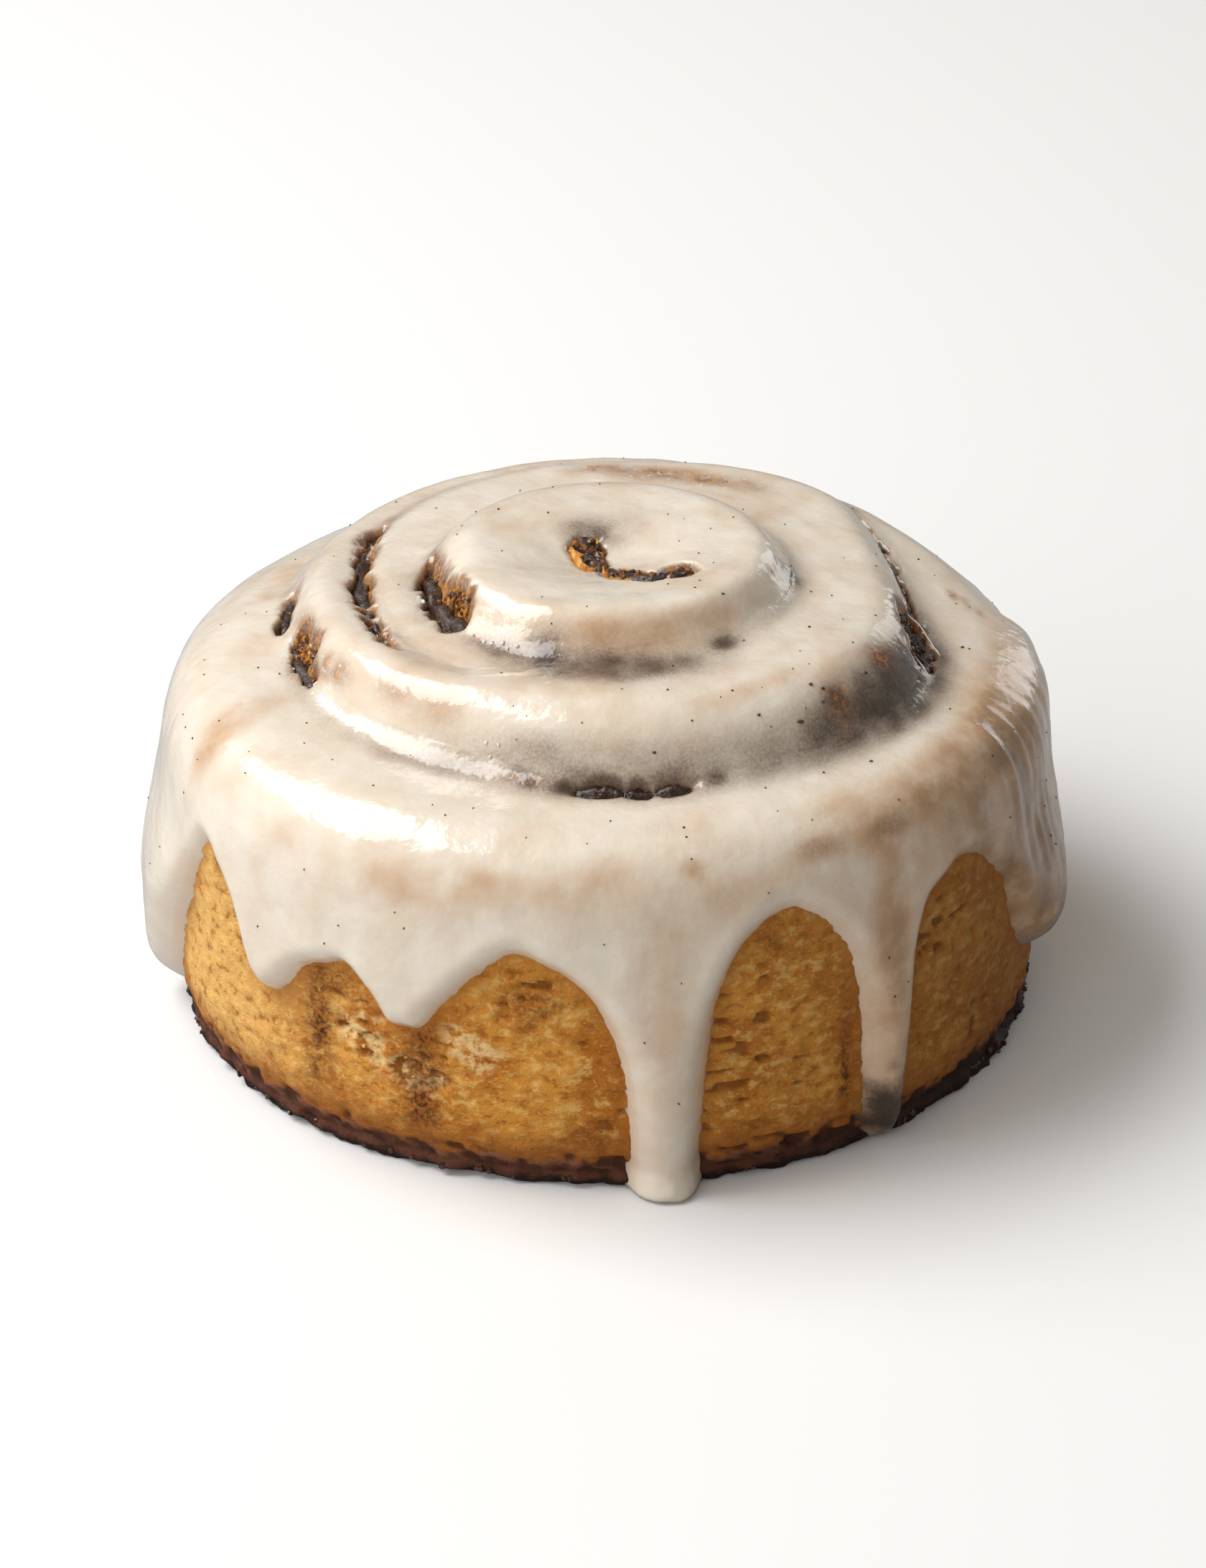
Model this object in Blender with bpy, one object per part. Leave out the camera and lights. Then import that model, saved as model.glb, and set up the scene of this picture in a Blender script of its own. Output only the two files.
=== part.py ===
"""Iced cinnamon roll.

A baked coil of dough with cinnamon paste between its turns, and a poured skin
of icing that runs over the rim and down the side in drips. The roll stands on
its flat base, centred on the origin, with +Z up. Angles are in degrees, seen
from above, counterclockwise from +X; the front of the roll is at 270 degrees.
All the lengths in the tables are in millimetres.
"""
import bpy
import bmesh
import numpy as np
from mathutils.kdtree import KDTree

for old in list(bpy.data.objects):
    bpy.data.objects.remove(old, do_unlink=True)

MM = 0.001

# Size of the baked roll
WAIST_HEIGHT = 22.0
RIM_INSET = 11.0

# How square the shoulder and the foot of the roll are: 1 is a quarter circle, less is squarer
SHOULDER_OUT = 0.6
SHOULDER_UP = 0.49
FOOT_OUT = 0.68
FOOT_UP = 0.64

# Level of the middle, and the dimple in it where the sheet's inner end is: place, half length, half width
DOME_LEVEL = 53.3
DIMPLE_DEPTH = 2.3
DIMPLE = (0.6, -0.6, 8.5, 7.5)

# The middle rises out of the turn round it from this angle along the spiral on, over this width
DOME_TURN = 560.0
DOME_SLOPE = 4.0

# Rounded edge of a turn: least width, and width for each millimetre of its drop
ROUND_WIDTH = 3.2
ROUND_SHARE = 0.8

# Thickness of the cinnamon paste, and the clearance round each piece
PASTE_THICKNESS = 1.8
CLEARANCE = 0.3
PASTE_FOOT = 0.6

# Icing: the film on top, the width of a drip's rounded edge, how far the skin dips below the dough where
# there is none, and the height of the lowest drip above the floor
FILM = 1.2
SIDE_FILM = 1.05
BEAD_WIDTH = 3.6
BEAD_TOP = 32.5
BEAD_RUN = 16.0
DIP = 0.9
DRIP_FOOT = 0.6
DRIP_TUCK = 3.0

# Length along the wall for one degree
EDGE_SCALE = np.radians(50.5)

# Outer radius of the dough round the roll: (angle, radius)
WAIST = [(0, 50.5), (30, 50.6), (60, 50.7), (90, 51), (115, 50.7), (140, 50), (180, 50.2), (225, 51.4),
         (270, 51.7), (300, 51.8), (330, 51), (360, 50.5)]

# Radius of the flat base: (angle, radius)
BASE = [(0, 49.6), (45, 48.8), (90, 48.8), (135, 48.3), (180, 48.3), (225, 49), (270, 49.3),
        (315, 49.5), (360, 49.6)]

# Height of the crest of the outermost turn: (angle, height)
RIM = [(0, 41.1), (60, 41.4), (100, 41), (140, 40.3), (180, 41.4), (225, 41), (270, 41), (315, 41),
       (360, 41.1)]

# How much the outermost turn rises toward the seam inside it: (angle, slope)
RISE = [(0, 0.1), (60, 0.3), (100, 0.5), (140, 0.32), (180, 0.16), (225, 0.05), (270, 0), (315, 0),
        (360, 0.1)]
RISE_EDGE = 46.0

# The seam between the turns, from the tail of the sheet inward: (angle along the spiral, radius)
SEAM = [(14, 51), (20, 48), (32, 46), (50, 44.5), (90, 41.3), (125, 39.5), (160, 37), (180, 36),
        (205, 35.5), (240, 34.8), (265, 36.6), (290, 37.7), (320, 38.6), (348, 37.4), (366, 35.7),
        (378, 36.0), (392, 38.0), (404, 39.8), (418, 39.0), (442, 36.4), (470, 34.8), (490, 33.4),
        (511, 31), (533, 28.2), (562, 26), (591, 26.2), (606, 23.5), (620, 20.4), (640, 20.2),
        (672, 20.6), (727, 21.7), (760, 22), (800, 21.6), (850, 21), (880, 21), (905, 19.2),
        (935, 19.4), (950, 17), (985, 12), (1080, 13.5), (1179, 10.5)]
TAIL_TURN = 14.0
LAST_TURN = 1179.0

# Run of degrees over which the coil's level lifts off from the outermost crest after the tail
TAIL_RUN = 25.0

# Crease down the wall where the sheet's tail ends: angle, half width and depth
TAIL_ANGLE = 15.0
TAIL_WIDTH = 1.4
TAIL_DEPTH = 1.2

# The shoulder swells out before the crease: how far, the degrees over which it starts and stops, and its
# place and reach round the shoulder
TAIL_SWELL = 1.1
SWELL_START = 30.0
SWELL_STOP = 4.0
SWELL_PLACE = 0.8
SWELL_REACH = 0.45

# The paste starts a little way in from the tail
PASTE_TURN = 62.0

# The sheet's inner end turns to the middle and stops there: (x, y)
INNER_END = [(-2.4, 6.0), (-1.8, 2.0), (-1.0, -0.8), (0.8, -3.4), (3.0, -5.6), (5.6, -6.6), (8.4, -5.4),
             (9.6, -4.4)]

# Crest height of the turn that lies inside the seam: (angle along the spiral, height)
LEVEL = [(-20, 41), (14, 40.9), (24, 42.2), (40, 44), (55, 45), (90, 46.8), (130, 46.8), (180, 47.8),
         (225, 48.5), (270, 49.2), (315, 49.2), (360, 48.6), (450, 48.6), (540, 48), (600, 48.4),
         (1200, 53.3)]

# Depth of the groove along the seam: (angle along the spiral, depth)
GROOVE = [(14, 1.6), (60, 1.4), (120, 1.2), (200, 1.6), (270, 2), (360, 1.6), (450, 1), (520, 2),
          (600, 2), (640, 1.9), (740, 1.4), (850, 1.4), (900, 1.8), (950, 1.2), (990, 0.3), (1179, 0.2)]

# Edge of the raised middle: (angle, radius)
DOME_EDGE = [(0, 21.3), (40, 21.8), (80, 21.4), (120, 21), (160, 20.8), (185, 19.2), (215, 19.4),
             (232, 19.2), (250, 19.6), (280, 20.4), (312, 20.6), (340, 21), (360, 21.3)]

# Lower edge of the icing, drip by drip, from the left side round the front and the back: (angle, height)
EDGE = [(180, 19), (182.5, 6.5), (186.5, 1.4), (190.5, 3.6), (194, 8.2), (198, 14), (202, 19.5),
        (206, 25.7), (210.5, 30.4), (214, 28.4), (218, 23.8), (221, 18.6), (224, 17), (227, 18.8),
        (230, 22.2), (233, 23.4), (236.5, 24.2), (240, 21.8), (243.5, 18.7), (246.5, 18.6), (250, 21.9),
        (254, 26.4), (259.5, 29.9), (264, 28.6), (268, 25.6), (271, 20.5), (272.9, 14), (273.6, 5),
        (274.6, 0.6), (280.6, 0.6), (281.6, 5), (282.2, 14), (283.7, 24), (288, 31.2), (293.3, 33.7),
        (298, 31.5), (301.2, 28), (303, 22), (303.9, 14), (304.6, 4), (307, 0.8), (310, 4), (310.9, 14),
        (311.8, 24), (314.5, 29.6), (317.5, 31.2), (321.3, 31.7), (325, 30.6), (329, 27.8), (332, 25),
        (334.5, 20), (336.8, 16), (340, 12.5), (344, 10.6), (348, 10.2), (352, 13), (357, 22),
        (362, 30), (370, 28), (378, 17), (385, 13), (392, 19), (400, 32), (408, 28), (414, 16), (420, 8),
        (426, 10), (433, 23), (440, 32), (446, 25), (451, 15), (457, 13), (464, 21), (472, 29),
        (480, 27), (488, 33), (496, 27), (503, 14), (510, 9), (517, 15), (525, 29), (532, 31),
        (537, 27), (540, 20)]

# Thickness of the icing's bead on the side of the roll: (angle, thickness)
BEAD = [(0, 3.2), (45, 2.5), (90, 2.8), (135, 2.5), (180, 3.7), (195, 3.5), (210, 2.0), (240, 1.9),
        (277, 2.7), (305, 2.5), (330, 3), (346, 3.9), (360, 3.2)]

# Bare places in the icing where the seam shows: (x, y, half length, half width, angle)
BARE = [(-18.6, -3.0, 6.0, 1.8, 98), (35.4, -4.2, 4.4, 1.9, 97), (-1.5, 0.8, 3.2, 1.6, 100),
        (4.4, -5.6, 5.0, 1.7, -15), (2.2, -37.6, 5.4, 1.1, 4), (-34.2, -8.0, 3.6, 1.5, 103),
        (-27.6, -0.5, 6.5, 1.2, 92)]

# Below this station the icing's skin is tucked in under the roll
LAST_STATION = 2.97

# The blade that opens the seam reaches past the roll below and above
BLADE_BOTTOM = -5.0
BLADE_TOP = 75.0

# The icing's underside is the dough's skin, drawn down past the floor where it is lower than this
UNDER_EDGE = 1.5
UNDER_BOTTOM = -3.0

# Fineness of the shapes
ANGLE_STEPS = 288
TOP_STEPS = 56
SHOULDER_STEPS = 22
WALL_STEPS = 30
EDGE_STEP = 0.15
SEAM_STEP = 3.0
ROLL_TRIANGLES = 2500
ICING_TRIANGLES = 3000


def curve(knots, at):
    """Smooth curve through a table's points, with no overshoot between them."""
    x, y = np.array(knots, float).T
    step = np.diff(x)
    slope = np.diff(y) / step
    pair = slope[:-1] * slope[1:]
    tangent = np.zeros_like(y)
    tangent[1:-1] = np.where(pair > 0, 2 * pair / np.where(pair > 0, slope[:-1] + slope[1:], 1), 0)
    tangent[0] = slope[0]
    tangent[-1] = slope[-1]
    at = np.clip(at, x[0], x[-1])
    i = np.clip(np.searchsorted(x, at, side="right") - 1, 0, len(step) - 1)
    t = (at - x[i]) / step[i]
    ends = y[i] * (1 + 2 * t) * (1 - t) ** 2 + y[i + 1] * t * t * (3 - 2 * t)
    return ends + step[i] * (tangent[i] * t * (1 - t) ** 2 - tangent[i + 1] * t * t * (1 - t))


def smooth(x):
    """Soft step from 0 to 1."""
    x = np.clip(x, 0, 1)
    return x * x * (3 - 2 * x)


def round_off(distance, width):
    """Quarter round: 1 at the seam, 0 where the turn is flat."""
    x = np.clip(distance / width, 0, 1)
    return 1 - np.sqrt(1 - (1 - x) ** 2)


def round_width(drop, fill, across):
    """Width of the rounded edge of a turn that is so far across."""
    return np.clip(np.maximum(ROUND_WIDTH + fill, drop * ROUND_SHARE), 0.3, 0.5 * across + 0.3)


def coil_top(angle, radius, fill=0.0):
    """Height of the turns' top; fill is how far a liquid fills the grooves."""
    rim = curve(RIM, angle)
    sloping = rim + curve(RISE, angle) * np.sqrt(np.maximum(RISE_EDGE - radius, 0) ** 2 + 0.5)
    turns = [angle + 360 * k for k in range(4)]
    seams = [curve(SEAM, turn) for turn in turns]
    seams[0] = np.where(turns[0] < TAIL_TURN, 99.0, seams[0])
    seams[3] = np.where(turns[3] > LAST_TURN, -99.0, seams[3])
    depths = [np.maximum(curve(GROOVE, turn) - fill, 0.1) for turn in turns]
    raised = smooth((curve(DOME_EDGE, angle) - radius) / DOME_SLOPE + 0.35)
    first, second, third = (curve(LEVEL, turn) for turn in turns[:3])
    first = sloping + (first - sloping) * smooth((turns[0] - TAIL_TURN) / TAIL_RUN)
    second += (DOME_LEVEL - second) * raised * (turns[1] > DOME_TURN)
    third += (DOME_LEVEL - third) * raised
    levels = [sloping, first, second, third, np.full_like(radius, DOME_LEVEL)]
    height = np.zeros_like(radius)
    for j in range(5):
        outer = seams[j - 1] if j > 0 else np.full_like(radius, 999.0)
        inner = seams[j] if j < 4 else np.full_like(radius, -99.0)
        here = (radius < outer) & (radius >= inner)
        turn_height = levels[j].copy()
        if j > 0:
            drop = levels[j] - np.minimum(levels[j - 1], levels[j]) + depths[j - 1]
            width = round_width(drop, fill, outer - inner)
            turn_height -= drop * round_off(outer - radius, width)
        if j < 4:
            drop = levels[j] - np.minimum(levels[j + 1], levels[j]) + depths[j]
            width = round_width(drop, fill, outer - inner)
            turn_height -= np.where(inner > -50, drop * round_off(radius - inner, width), 0)
        height = np.where(here, turn_height, height)
    return height - dimple(angle, radius)


def dimple(angle, radius):
    """Depth of the hollow in the middle."""
    x, y, half_length, half_width = DIMPLE
    a = np.radians(angle)
    away = np.hypot((radius * np.cos(a) - x) / half_length, (radius * np.sin(a) - y) / half_width)
    return DIMPLE_DEPTH * np.exp(-away ** 2)


def stations():
    """Stations of the roll's outline: 0 to 1 top, 1 to 2 shoulder, 2 to 3 wall."""
    top = np.linspace(0, 1, TOP_STEPS + 1)[1:]
    shoulder = np.linspace(1, 2, SHOULDER_STEPS + 1)[1:]
    wall = np.linspace(2, 3, WALL_STEPS + 1)[1:]
    return np.concatenate([top, shoulder, wall])


def outline(angle, station, fill=0.0):
    """Radius, height and facing of the dough's skin; facing is 0 up and a quarter turn outward."""
    waist = curve(WAIST, angle)
    crest = waist - RIM_INSET
    rim = curve(RIM, angle)
    over = np.clip(station - 1, 0, 1) * np.pi / 2
    down = np.clip(station - 2, 0, 1) * np.pi / 2
    radius = crest * np.clip(station, 0, 1) + RIM_INSET * np.sin(over) ** SHOULDER_OUT
    base = curve(BASE, angle)
    radius = np.where(station > 2, base + (waist - base) * np.cos(down).clip(0) ** FOOT_OUT, radius)
    coil = coil_top(angle, radius, fill)
    fall = np.cos(over).clip(0)
    shoulder = WAIST_HEIGHT + (rim - WAIST_HEIGHT) * fall ** SHOULDER_UP + (coil - rim) * fall ** 0.5
    height = np.where(station <= 1, coil, shoulder)
    height = np.where(station > 2, WAIST_HEIGHT * (1 - np.sin(down) ** FOOT_UP), height)
    tail = np.exp(-((angle - TAIL_ANGLE) * EDGE_SCALE / TAIL_WIDTH) ** 2) * smooth((over - 0.5) / 0.6)
    tail *= 1 - smooth((down - 1.2) / 0.3)
    before = (angle + 180) % 360 - 180
    swell = smooth((TAIL_TURN - before) / SWELL_STOP) * smooth((before + SWELL_START) / SWELL_START)
    swell *= np.exp(-((over - SWELL_PLACE) / SWELL_REACH) ** 2)
    return radius - TAIL_DEPTH * tail + TAIL_SWELL * swell, height, over


def edge_distance(angle, height):
    """Distance from the icing's lower edge on the side of the roll, positive inside the icing."""
    turn = np.where(angle < 180, angle + 360, angle)
    along = np.linspace(170, 550, 4000)
    wrapped = np.where(along < 180, along + 360, np.where(along > 540, along - 360, along))
    line = curve(EDGE, wrapped)
    run = np.concatenate([[0], np.cumsum(np.hypot(np.diff(along) * EDGE_SCALE, np.diff(line)))])
    at = np.linspace(0, run[-1], int(run[-1] / EDGE_STEP))
    tree = KDTree(len(at))
    for k, (u, z) in enumerate(zip(np.interp(at, run, along) * EDGE_SCALE, np.interp(at, run, line))):
        tree.insert((u, z, 0), k)
    tree.balance()
    places = zip(np.ravel(turn * EDGE_SCALE), np.ravel(height))
    apart = np.array([tree.find((u, z, 0))[2] for u, z in places]).reshape(height.shape)
    return np.where(height > curve(EDGE, turn), apart, -apart)


def bare_places(x, y):
    """1 inside the bare places in the icing, falling to 0 outside them."""
    most = np.zeros_like(x)
    for cx, cy, half_length, half_width, turn in BARE:
        a = np.radians(turn)
        u = (x - cx) * np.cos(a) + (y - cy) * np.sin(a)
        w = -(x - cx) * np.sin(a) + (y - cy) * np.cos(a)
        most = np.maximum(most, 1 - smooth((np.hypot(u / half_length, w / half_width) - 0.8) / 0.8))
    return most


def icing_depth(angle, radius, height, facing):
    """Thickness of the icing over the dough, below zero where there is none."""
    side = smooth(facing / 0.9)
    inside = np.where(side > 0, edge_distance(angle, height), 40.0)
    rounded = np.sqrt(1 - (1 - np.clip(inside / BEAD_WIDTH, 0, 1)) ** 2)
    low = smooth((BEAD_TOP - height) / BEAD_RUN)
    thick = SIDE_FILM + (curve(BEAD, angle) - SIDE_FILM) * low
    wall = np.where(inside > 0, thick * rounded, -DIP * smooth(-inside / 0.9))
    a = np.radians(angle)
    film = FILM - (FILM + DIP) * bare_places(radius * np.cos(a), radius * np.sin(a))
    return film + (wall - film) * side


def skin_rings(kind):
    """Rings of points over the roll's surface: the dough itself, or the icing's outside."""
    along = stations()
    angle, station = np.meshgrid(np.linspace(0, 360, ANGLE_STEPS, endpoint=False), along)
    radius, height, facing = outline(angle, station)
    if kind == "icing":
        depth = icing_depth(angle, radius, height, facing)
        poured = outline(angle, station, fill=0.8)[1]
        height = np.maximum(height, poured) + depth * np.cos(facing)
        radius = radius + depth * np.sin(facing)
        height = np.where(station > 2, np.maximum(height, DRIP_FOOT), height)
        tuck = np.clip((station - LAST_STATION) / (3 - LAST_STATION), 0, 1)
        radius = radius - DRIP_TUCK * tuck
    a = np.radians(angle)
    return np.stack([radius * np.cos(a), radius * np.sin(a), height], axis=-1) * MM


def closed_skin(name, rings, lowest):
    """Closed solid from rings of points, with a middle point above and below."""
    count, steps, _ = rings.shape
    summit = rings[0].mean(axis=0)
    points = [tuple(summit)]
    points += [tuple(p) for ring in rings for p in ring]
    points.append((0.0, 0.0, lowest * MM))
    last = len(points) - 1
    faces = []
    for k in range(steps):
        n = (k + 1) % steps
        faces.append((0, 1 + k, 1 + n))
        for ring in range(count - 1):
            upper = 1 + ring * steps
            lower = upper + steps
            faces.append((upper + k, lower + k, lower + n, upper + n))
        base = 1 + (count - 1) * steps
        faces.append((base + k, last, base + n))
    mesh = bpy.data.meshes.new(name)
    mesh.from_pydata(points, [], faces)
    return add_object(name, mesh)


def add_object(name, mesh):
    """Object in the scene for a mesh."""
    piece = bpy.data.objects.new(name, mesh)
    bpy.context.scene.collection.objects.link(piece)
    return piece


def settle(piece):
    """Turn the piece's modifiers into plain mesh."""
    graph = bpy.context.evaluated_depsgraph_get()
    mesh = bpy.data.meshes.new_from_object(piece.evaluated_get(graph))
    piece.modifiers.clear()
    old = piece.data
    piece.data = mesh
    bpy.data.meshes.remove(old)


def thin_out(piece, triangles):
    """Fewer triangles for the same shape, with the flat base kept flat."""
    form = bmesh.new()
    form.from_mesh(piece.data)
    bmesh.ops.triangulate(form, faces=form.faces)
    form.to_mesh(piece.data)
    have = len(form.faces)
    form.free()
    reduce = piece.modifiers.new("reduce", "DECIMATE")
    reduce.ratio = triangles / have
    settle(piece)
    for vertex in piece.data.vertices:
        if vertex.co.z < 0.15 * MM:
            vertex.co.z = 0.0


def combine(piece, other, operation):
    """Boolean between two closed solids."""
    step = piece.modifiers.new("step", "BOOLEAN")
    step.operation = operation
    step.solver = "EXACT"
    step.object = other
    settle(piece)


def grown_copy(piece, name, amount):
    """Copy of a solid with its surface moved outward."""
    mesh = piece.data.copy()
    normals = [v.normal.copy() for v in mesh.vertices]
    for vertex, normal in zip(mesh.vertices, normals):
        vertex.co += normal * amount * MM
    return add_object(name, mesh)


def keep_largest(piece):
    """Drop crumbs that a cut left loose, and close up tiny edges."""
    form = bmesh.new()
    form.from_mesh(piece.data)
    bmesh.ops.remove_doubles(form, verts=form.verts, dist=0.00002)
    bmesh.ops.dissolve_degenerate(form, edges=form.edges, dist=0.00002)
    bmesh.ops.triangulate(form, faces=form.faces)
    left = set(form.faces)
    groups = []
    while left:
        front = [left.pop()]
        group = []
        while front:
            face = front.pop()
            group.append(face)
            for edge in face.edges:
                for near in edge.link_faces:
                    if near in left:
                        left.remove(near)
                        front.append(near)
        groups.append(group)
    groups.sort(key=len)
    for group in groups[:-1]:
        bmesh.ops.delete(form, geom=group, context="FACES")
    loose = [v for v in form.verts if not v.link_faces]
    bmesh.ops.delete(form, geom=loose, context="VERTS")
    form.to_mesh(piece.data)
    form.free()


def seam_path():
    """Points in plan along the seam, from near the tail to the inner end."""
    turn = np.linspace(PASTE_TURN, LAST_TURN, 900)
    radius = curve(SEAM, turn)
    a = np.radians(turn)
    line = np.stack([radius * np.cos(a), radius * np.sin(a)], axis=1)
    end = np.array([line[-1]] + [np.array(p) for p in INNER_END])
    knots = np.arange(len(end))
    fine = np.linspace(0, len(end) - 1, 60)[1:]
    hook = np.stack([curve(list(zip(knots, end[:, k])), fine) for k in (0, 1)], axis=1)
    line = np.concatenate([line, hook])
    run = np.concatenate([[0], np.cumsum(np.hypot(*np.diff(line, axis=0).T))])
    at = np.linspace(0, run[-1], int(run[-1] / SEAM_STEP) + 1)
    return np.stack([np.interp(at, run, line[:, k]) for k in (0, 1)], axis=1)


def blade(name, thickness, bottom, top):
    """Upright ribbon that follows the seam."""
    path = seam_path()
    along = np.gradient(path, axis=0)
    along /= np.hypot(along[:, 0], along[:, 1])[:, None]
    side = np.stack([-along[:, 1], along[:, 0]], axis=1) * thickness / 2
    extra = (thickness - PASTE_THICKNESS) / 2
    path = path.copy()
    path[0] -= along[0] * extra
    path[-1] += along[-1] * extra
    rim = np.concatenate([path + side, (path - side)[::-1]])
    count = len(rim)
    half = len(path)
    points = [(x * MM, y * MM, bottom * MM) for x, y in rim]
    points += [(x * MM, y * MM, top * MM) for x, y in rim]
    faces = [(k, count + k, count + (k + 1) % count, (k + 1) % count) for k in range(count)]
    for k in range(half - 1):
        m = count - 1 - k
        faces.append((k, k + 1, m - 1, m))
        faces.append((count + k, count + m, count + m - 1, count + k + 1))
    mesh = bpy.data.meshes.new(name)
    mesh.from_pydata(points, [], faces)
    form = bmesh.new()
    form.from_mesh(mesh)
    bmesh.ops.recalc_face_normals(form, faces=form.faces)
    form.to_mesh(mesh)
    form.free()
    return add_object(name, mesh)


def coat(piece, name, colour, roughness):
    """Principled material of the piece."""
    material = bpy.data.materials.new(name)
    material.use_nodes = True
    shader = material.node_tree.nodes["Principled BSDF"]
    shader.inputs["Base Color"].default_value = (*colour, 1.0)
    shader.inputs["Roughness"].default_value = roughness
    shader.inputs["Metallic"].default_value = 0.0
    piece.data.materials.clear()
    piece.data.materials.append(material)


# The whole baked roll, before the seam is opened in it
dough = closed_skin("dough", skin_rings("dough"), 0.0)
thin_out(dough, ROLL_TRIANGLES)
whole = add_object("whole_roll", dough.data.copy())

# The dough sheet: the roll with a slot along its seam
slot = blade("seam_slot", PASTE_THICKNESS + 2 * CLEARANCE, BLADE_BOTTOM, BLADE_TOP)
combine(dough, slot, "DIFFERENCE")
keep_largest(dough)
coat(dough, "baked_dough", (0.62, 0.33, 0.11), 0.7)

# The paste: a ribbon in the slot, up to the roll's skin
paste = blade("cinnamon_filling", PASTE_THICKNESS, PASTE_FOOT, BLADE_TOP)
combine(paste, whole, "INTERSECT")
keep_largest(paste)
coat(paste, "cinnamon_paste", (0.10, 0.035, 0.012), 0.45)

# The icing: poured over the roll, open over the bare places and ending in drips
icing = closed_skin("icing", skin_rings("icing"), DRIP_FOOT)
thin_out(icing, ICING_TRIANGLES)
under = grown_copy(whole, "icing_underside", CLEARANCE)
for point in under.data.vertices:
    if point.co.z < UNDER_EDGE * MM:
        point.co.z = UNDER_BOTTOM * MM
combine(icing, under, "DIFFERENCE")
keep_largest(icing)
coat(icing, "sugar_icing", (0.83, 0.77, 0.68), 0.3)

for helper in (whole, slot, under):
    bpy.data.objects.remove(helper, do_unlink=True)

for piece in (dough, paste, icing):
    piece.data.shade_smooth()
    piece.data.set_sharp_from_angle(angle=np.radians(35))
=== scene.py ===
"""Looks of an iced cinnamon roll: baked coil, cinnamon paste and poured sugar icing.

Lengths in the tables are millimetres. Angles are degrees seen from above,
counterclockwise from +X, and the front of the roll is at 270. A turn is an
angle that keeps growing along the spiral, from the sheet's tail to the middle.
"""
from functools import reduce
from itertools import product

import bmesh
import bpy
import numpy as np
from mathutils import Matrix, Vector
from mathutils.kdtree import KDTree


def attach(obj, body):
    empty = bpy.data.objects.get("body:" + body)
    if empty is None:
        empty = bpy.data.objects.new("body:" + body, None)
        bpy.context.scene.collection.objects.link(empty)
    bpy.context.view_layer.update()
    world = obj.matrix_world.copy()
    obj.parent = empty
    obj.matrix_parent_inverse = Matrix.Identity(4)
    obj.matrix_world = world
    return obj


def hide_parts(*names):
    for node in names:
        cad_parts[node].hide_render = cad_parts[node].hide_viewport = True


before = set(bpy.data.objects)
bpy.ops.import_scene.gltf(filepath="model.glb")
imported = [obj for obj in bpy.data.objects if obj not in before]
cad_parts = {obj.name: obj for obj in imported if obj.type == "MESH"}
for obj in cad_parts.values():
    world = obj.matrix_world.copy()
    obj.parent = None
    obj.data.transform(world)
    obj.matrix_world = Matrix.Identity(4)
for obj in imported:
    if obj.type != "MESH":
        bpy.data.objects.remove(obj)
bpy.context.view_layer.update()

# Baked dough.
# A sheet of yeast dough rolled up and baked against its neighbours in a pan, so its side is bare crumb with
# short flat pores, its foot is caramelised dark, and each turn has risen higher than the one outside it.

# One millimetre in metres
MM = 0.001

# Height of the widest place of the wall, how far in from it the outermost crest stands, and the powers that
# set how square the shoulder and the foot are, outward and upward
WAIST_HEIGHT = 22.0
RIM_INSET = 11.0
SHOULDER_OUT = 0.6
SHOULDER_UP = 0.49
FOOT_OUT = 0.68
FOOT_UP = 0.64

# The middle of the coil: its level, the width over which it rises at its edge, and the hollow in it, with its
# depth and (x, y, half length, half width). The outermost turn slopes up inside a radius.
DOME_LEVEL = 53.3
DOME_SLOPE = 4.0
DIMPLE_DEPTH = 2.3
DIMPLE = (0.6, -0.6, 8.5, 7.5)
RISE_EDGE = 46.0

# (angle, radius of the waist), (angle, radius of the base), (angle, height of the outermost crest) and
# (angle, slope up toward the seam)
WAIST = [(0, 50.5), (30, 50.6), (60, 50.7), (90, 51), (115, 50.7), (140, 50), (180, 50.2), (225, 51.4),
         (270, 51.7), (300, 51.8), (330, 51), (360, 50.5)]
BASE = [(0, 49.6), (45, 48.8), (90, 48.8), (135, 48.3), (180, 48.3), (225, 49), (270, 49.3),
        (315, 49.5), (360, 49.6)]
RIM = [(0, 41.1), (60, 41.4), (100, 41), (140, 40.3), (180, 41.4), (225, 41), (270, 41), (315, 41),
       (360, 41.1)]
RISE = [(0, 0.1), (60, 0.3), (100, 0.5), (140, 0.32), (180, 0.16), (225, 0.05), (270, 0), (315, 0),
        (360, 0.1)]

# (turn, radius of the seam), (turn, crest inside it), (turn, depth of its groove) and (angle, edge of the
# middle)
SEAM = [(14, 51), (20, 48), (32, 46), (50, 44.5), (90, 41.3), (125, 39.5), (160, 37), (180, 36),
        (205, 35.5), (240, 34.8), (265, 36.6), (290, 37.7), (320, 38.6), (348, 37.4), (366, 35.7),
        (378, 36.0), (392, 38.0), (404, 39.8), (418, 39.0), (442, 36.4), (470, 34.8), (490, 33.4),
        (511, 31), (533, 28.2), (562, 26), (591, 26.2), (606, 23.5), (620, 20.4), (640, 20.2),
        (672, 20.6), (727, 21.7), (760, 22), (800, 21.6), (850, 21), (880, 21), (905, 19.2),
        (935, 19.4), (950, 17), (985, 12), (1080, 13.5), (1179, 10.5)]
LEVEL = [(-20, 41), (14, 40.9), (24, 42.2), (40, 44), (55, 45), (90, 46.8), (130, 46.8), (180, 47.8),
         (225, 48.5), (270, 49.2), (315, 49.2), (360, 48.6), (450, 48.6), (540, 48), (600, 48.4),
         (1200, 53.3)]
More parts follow.
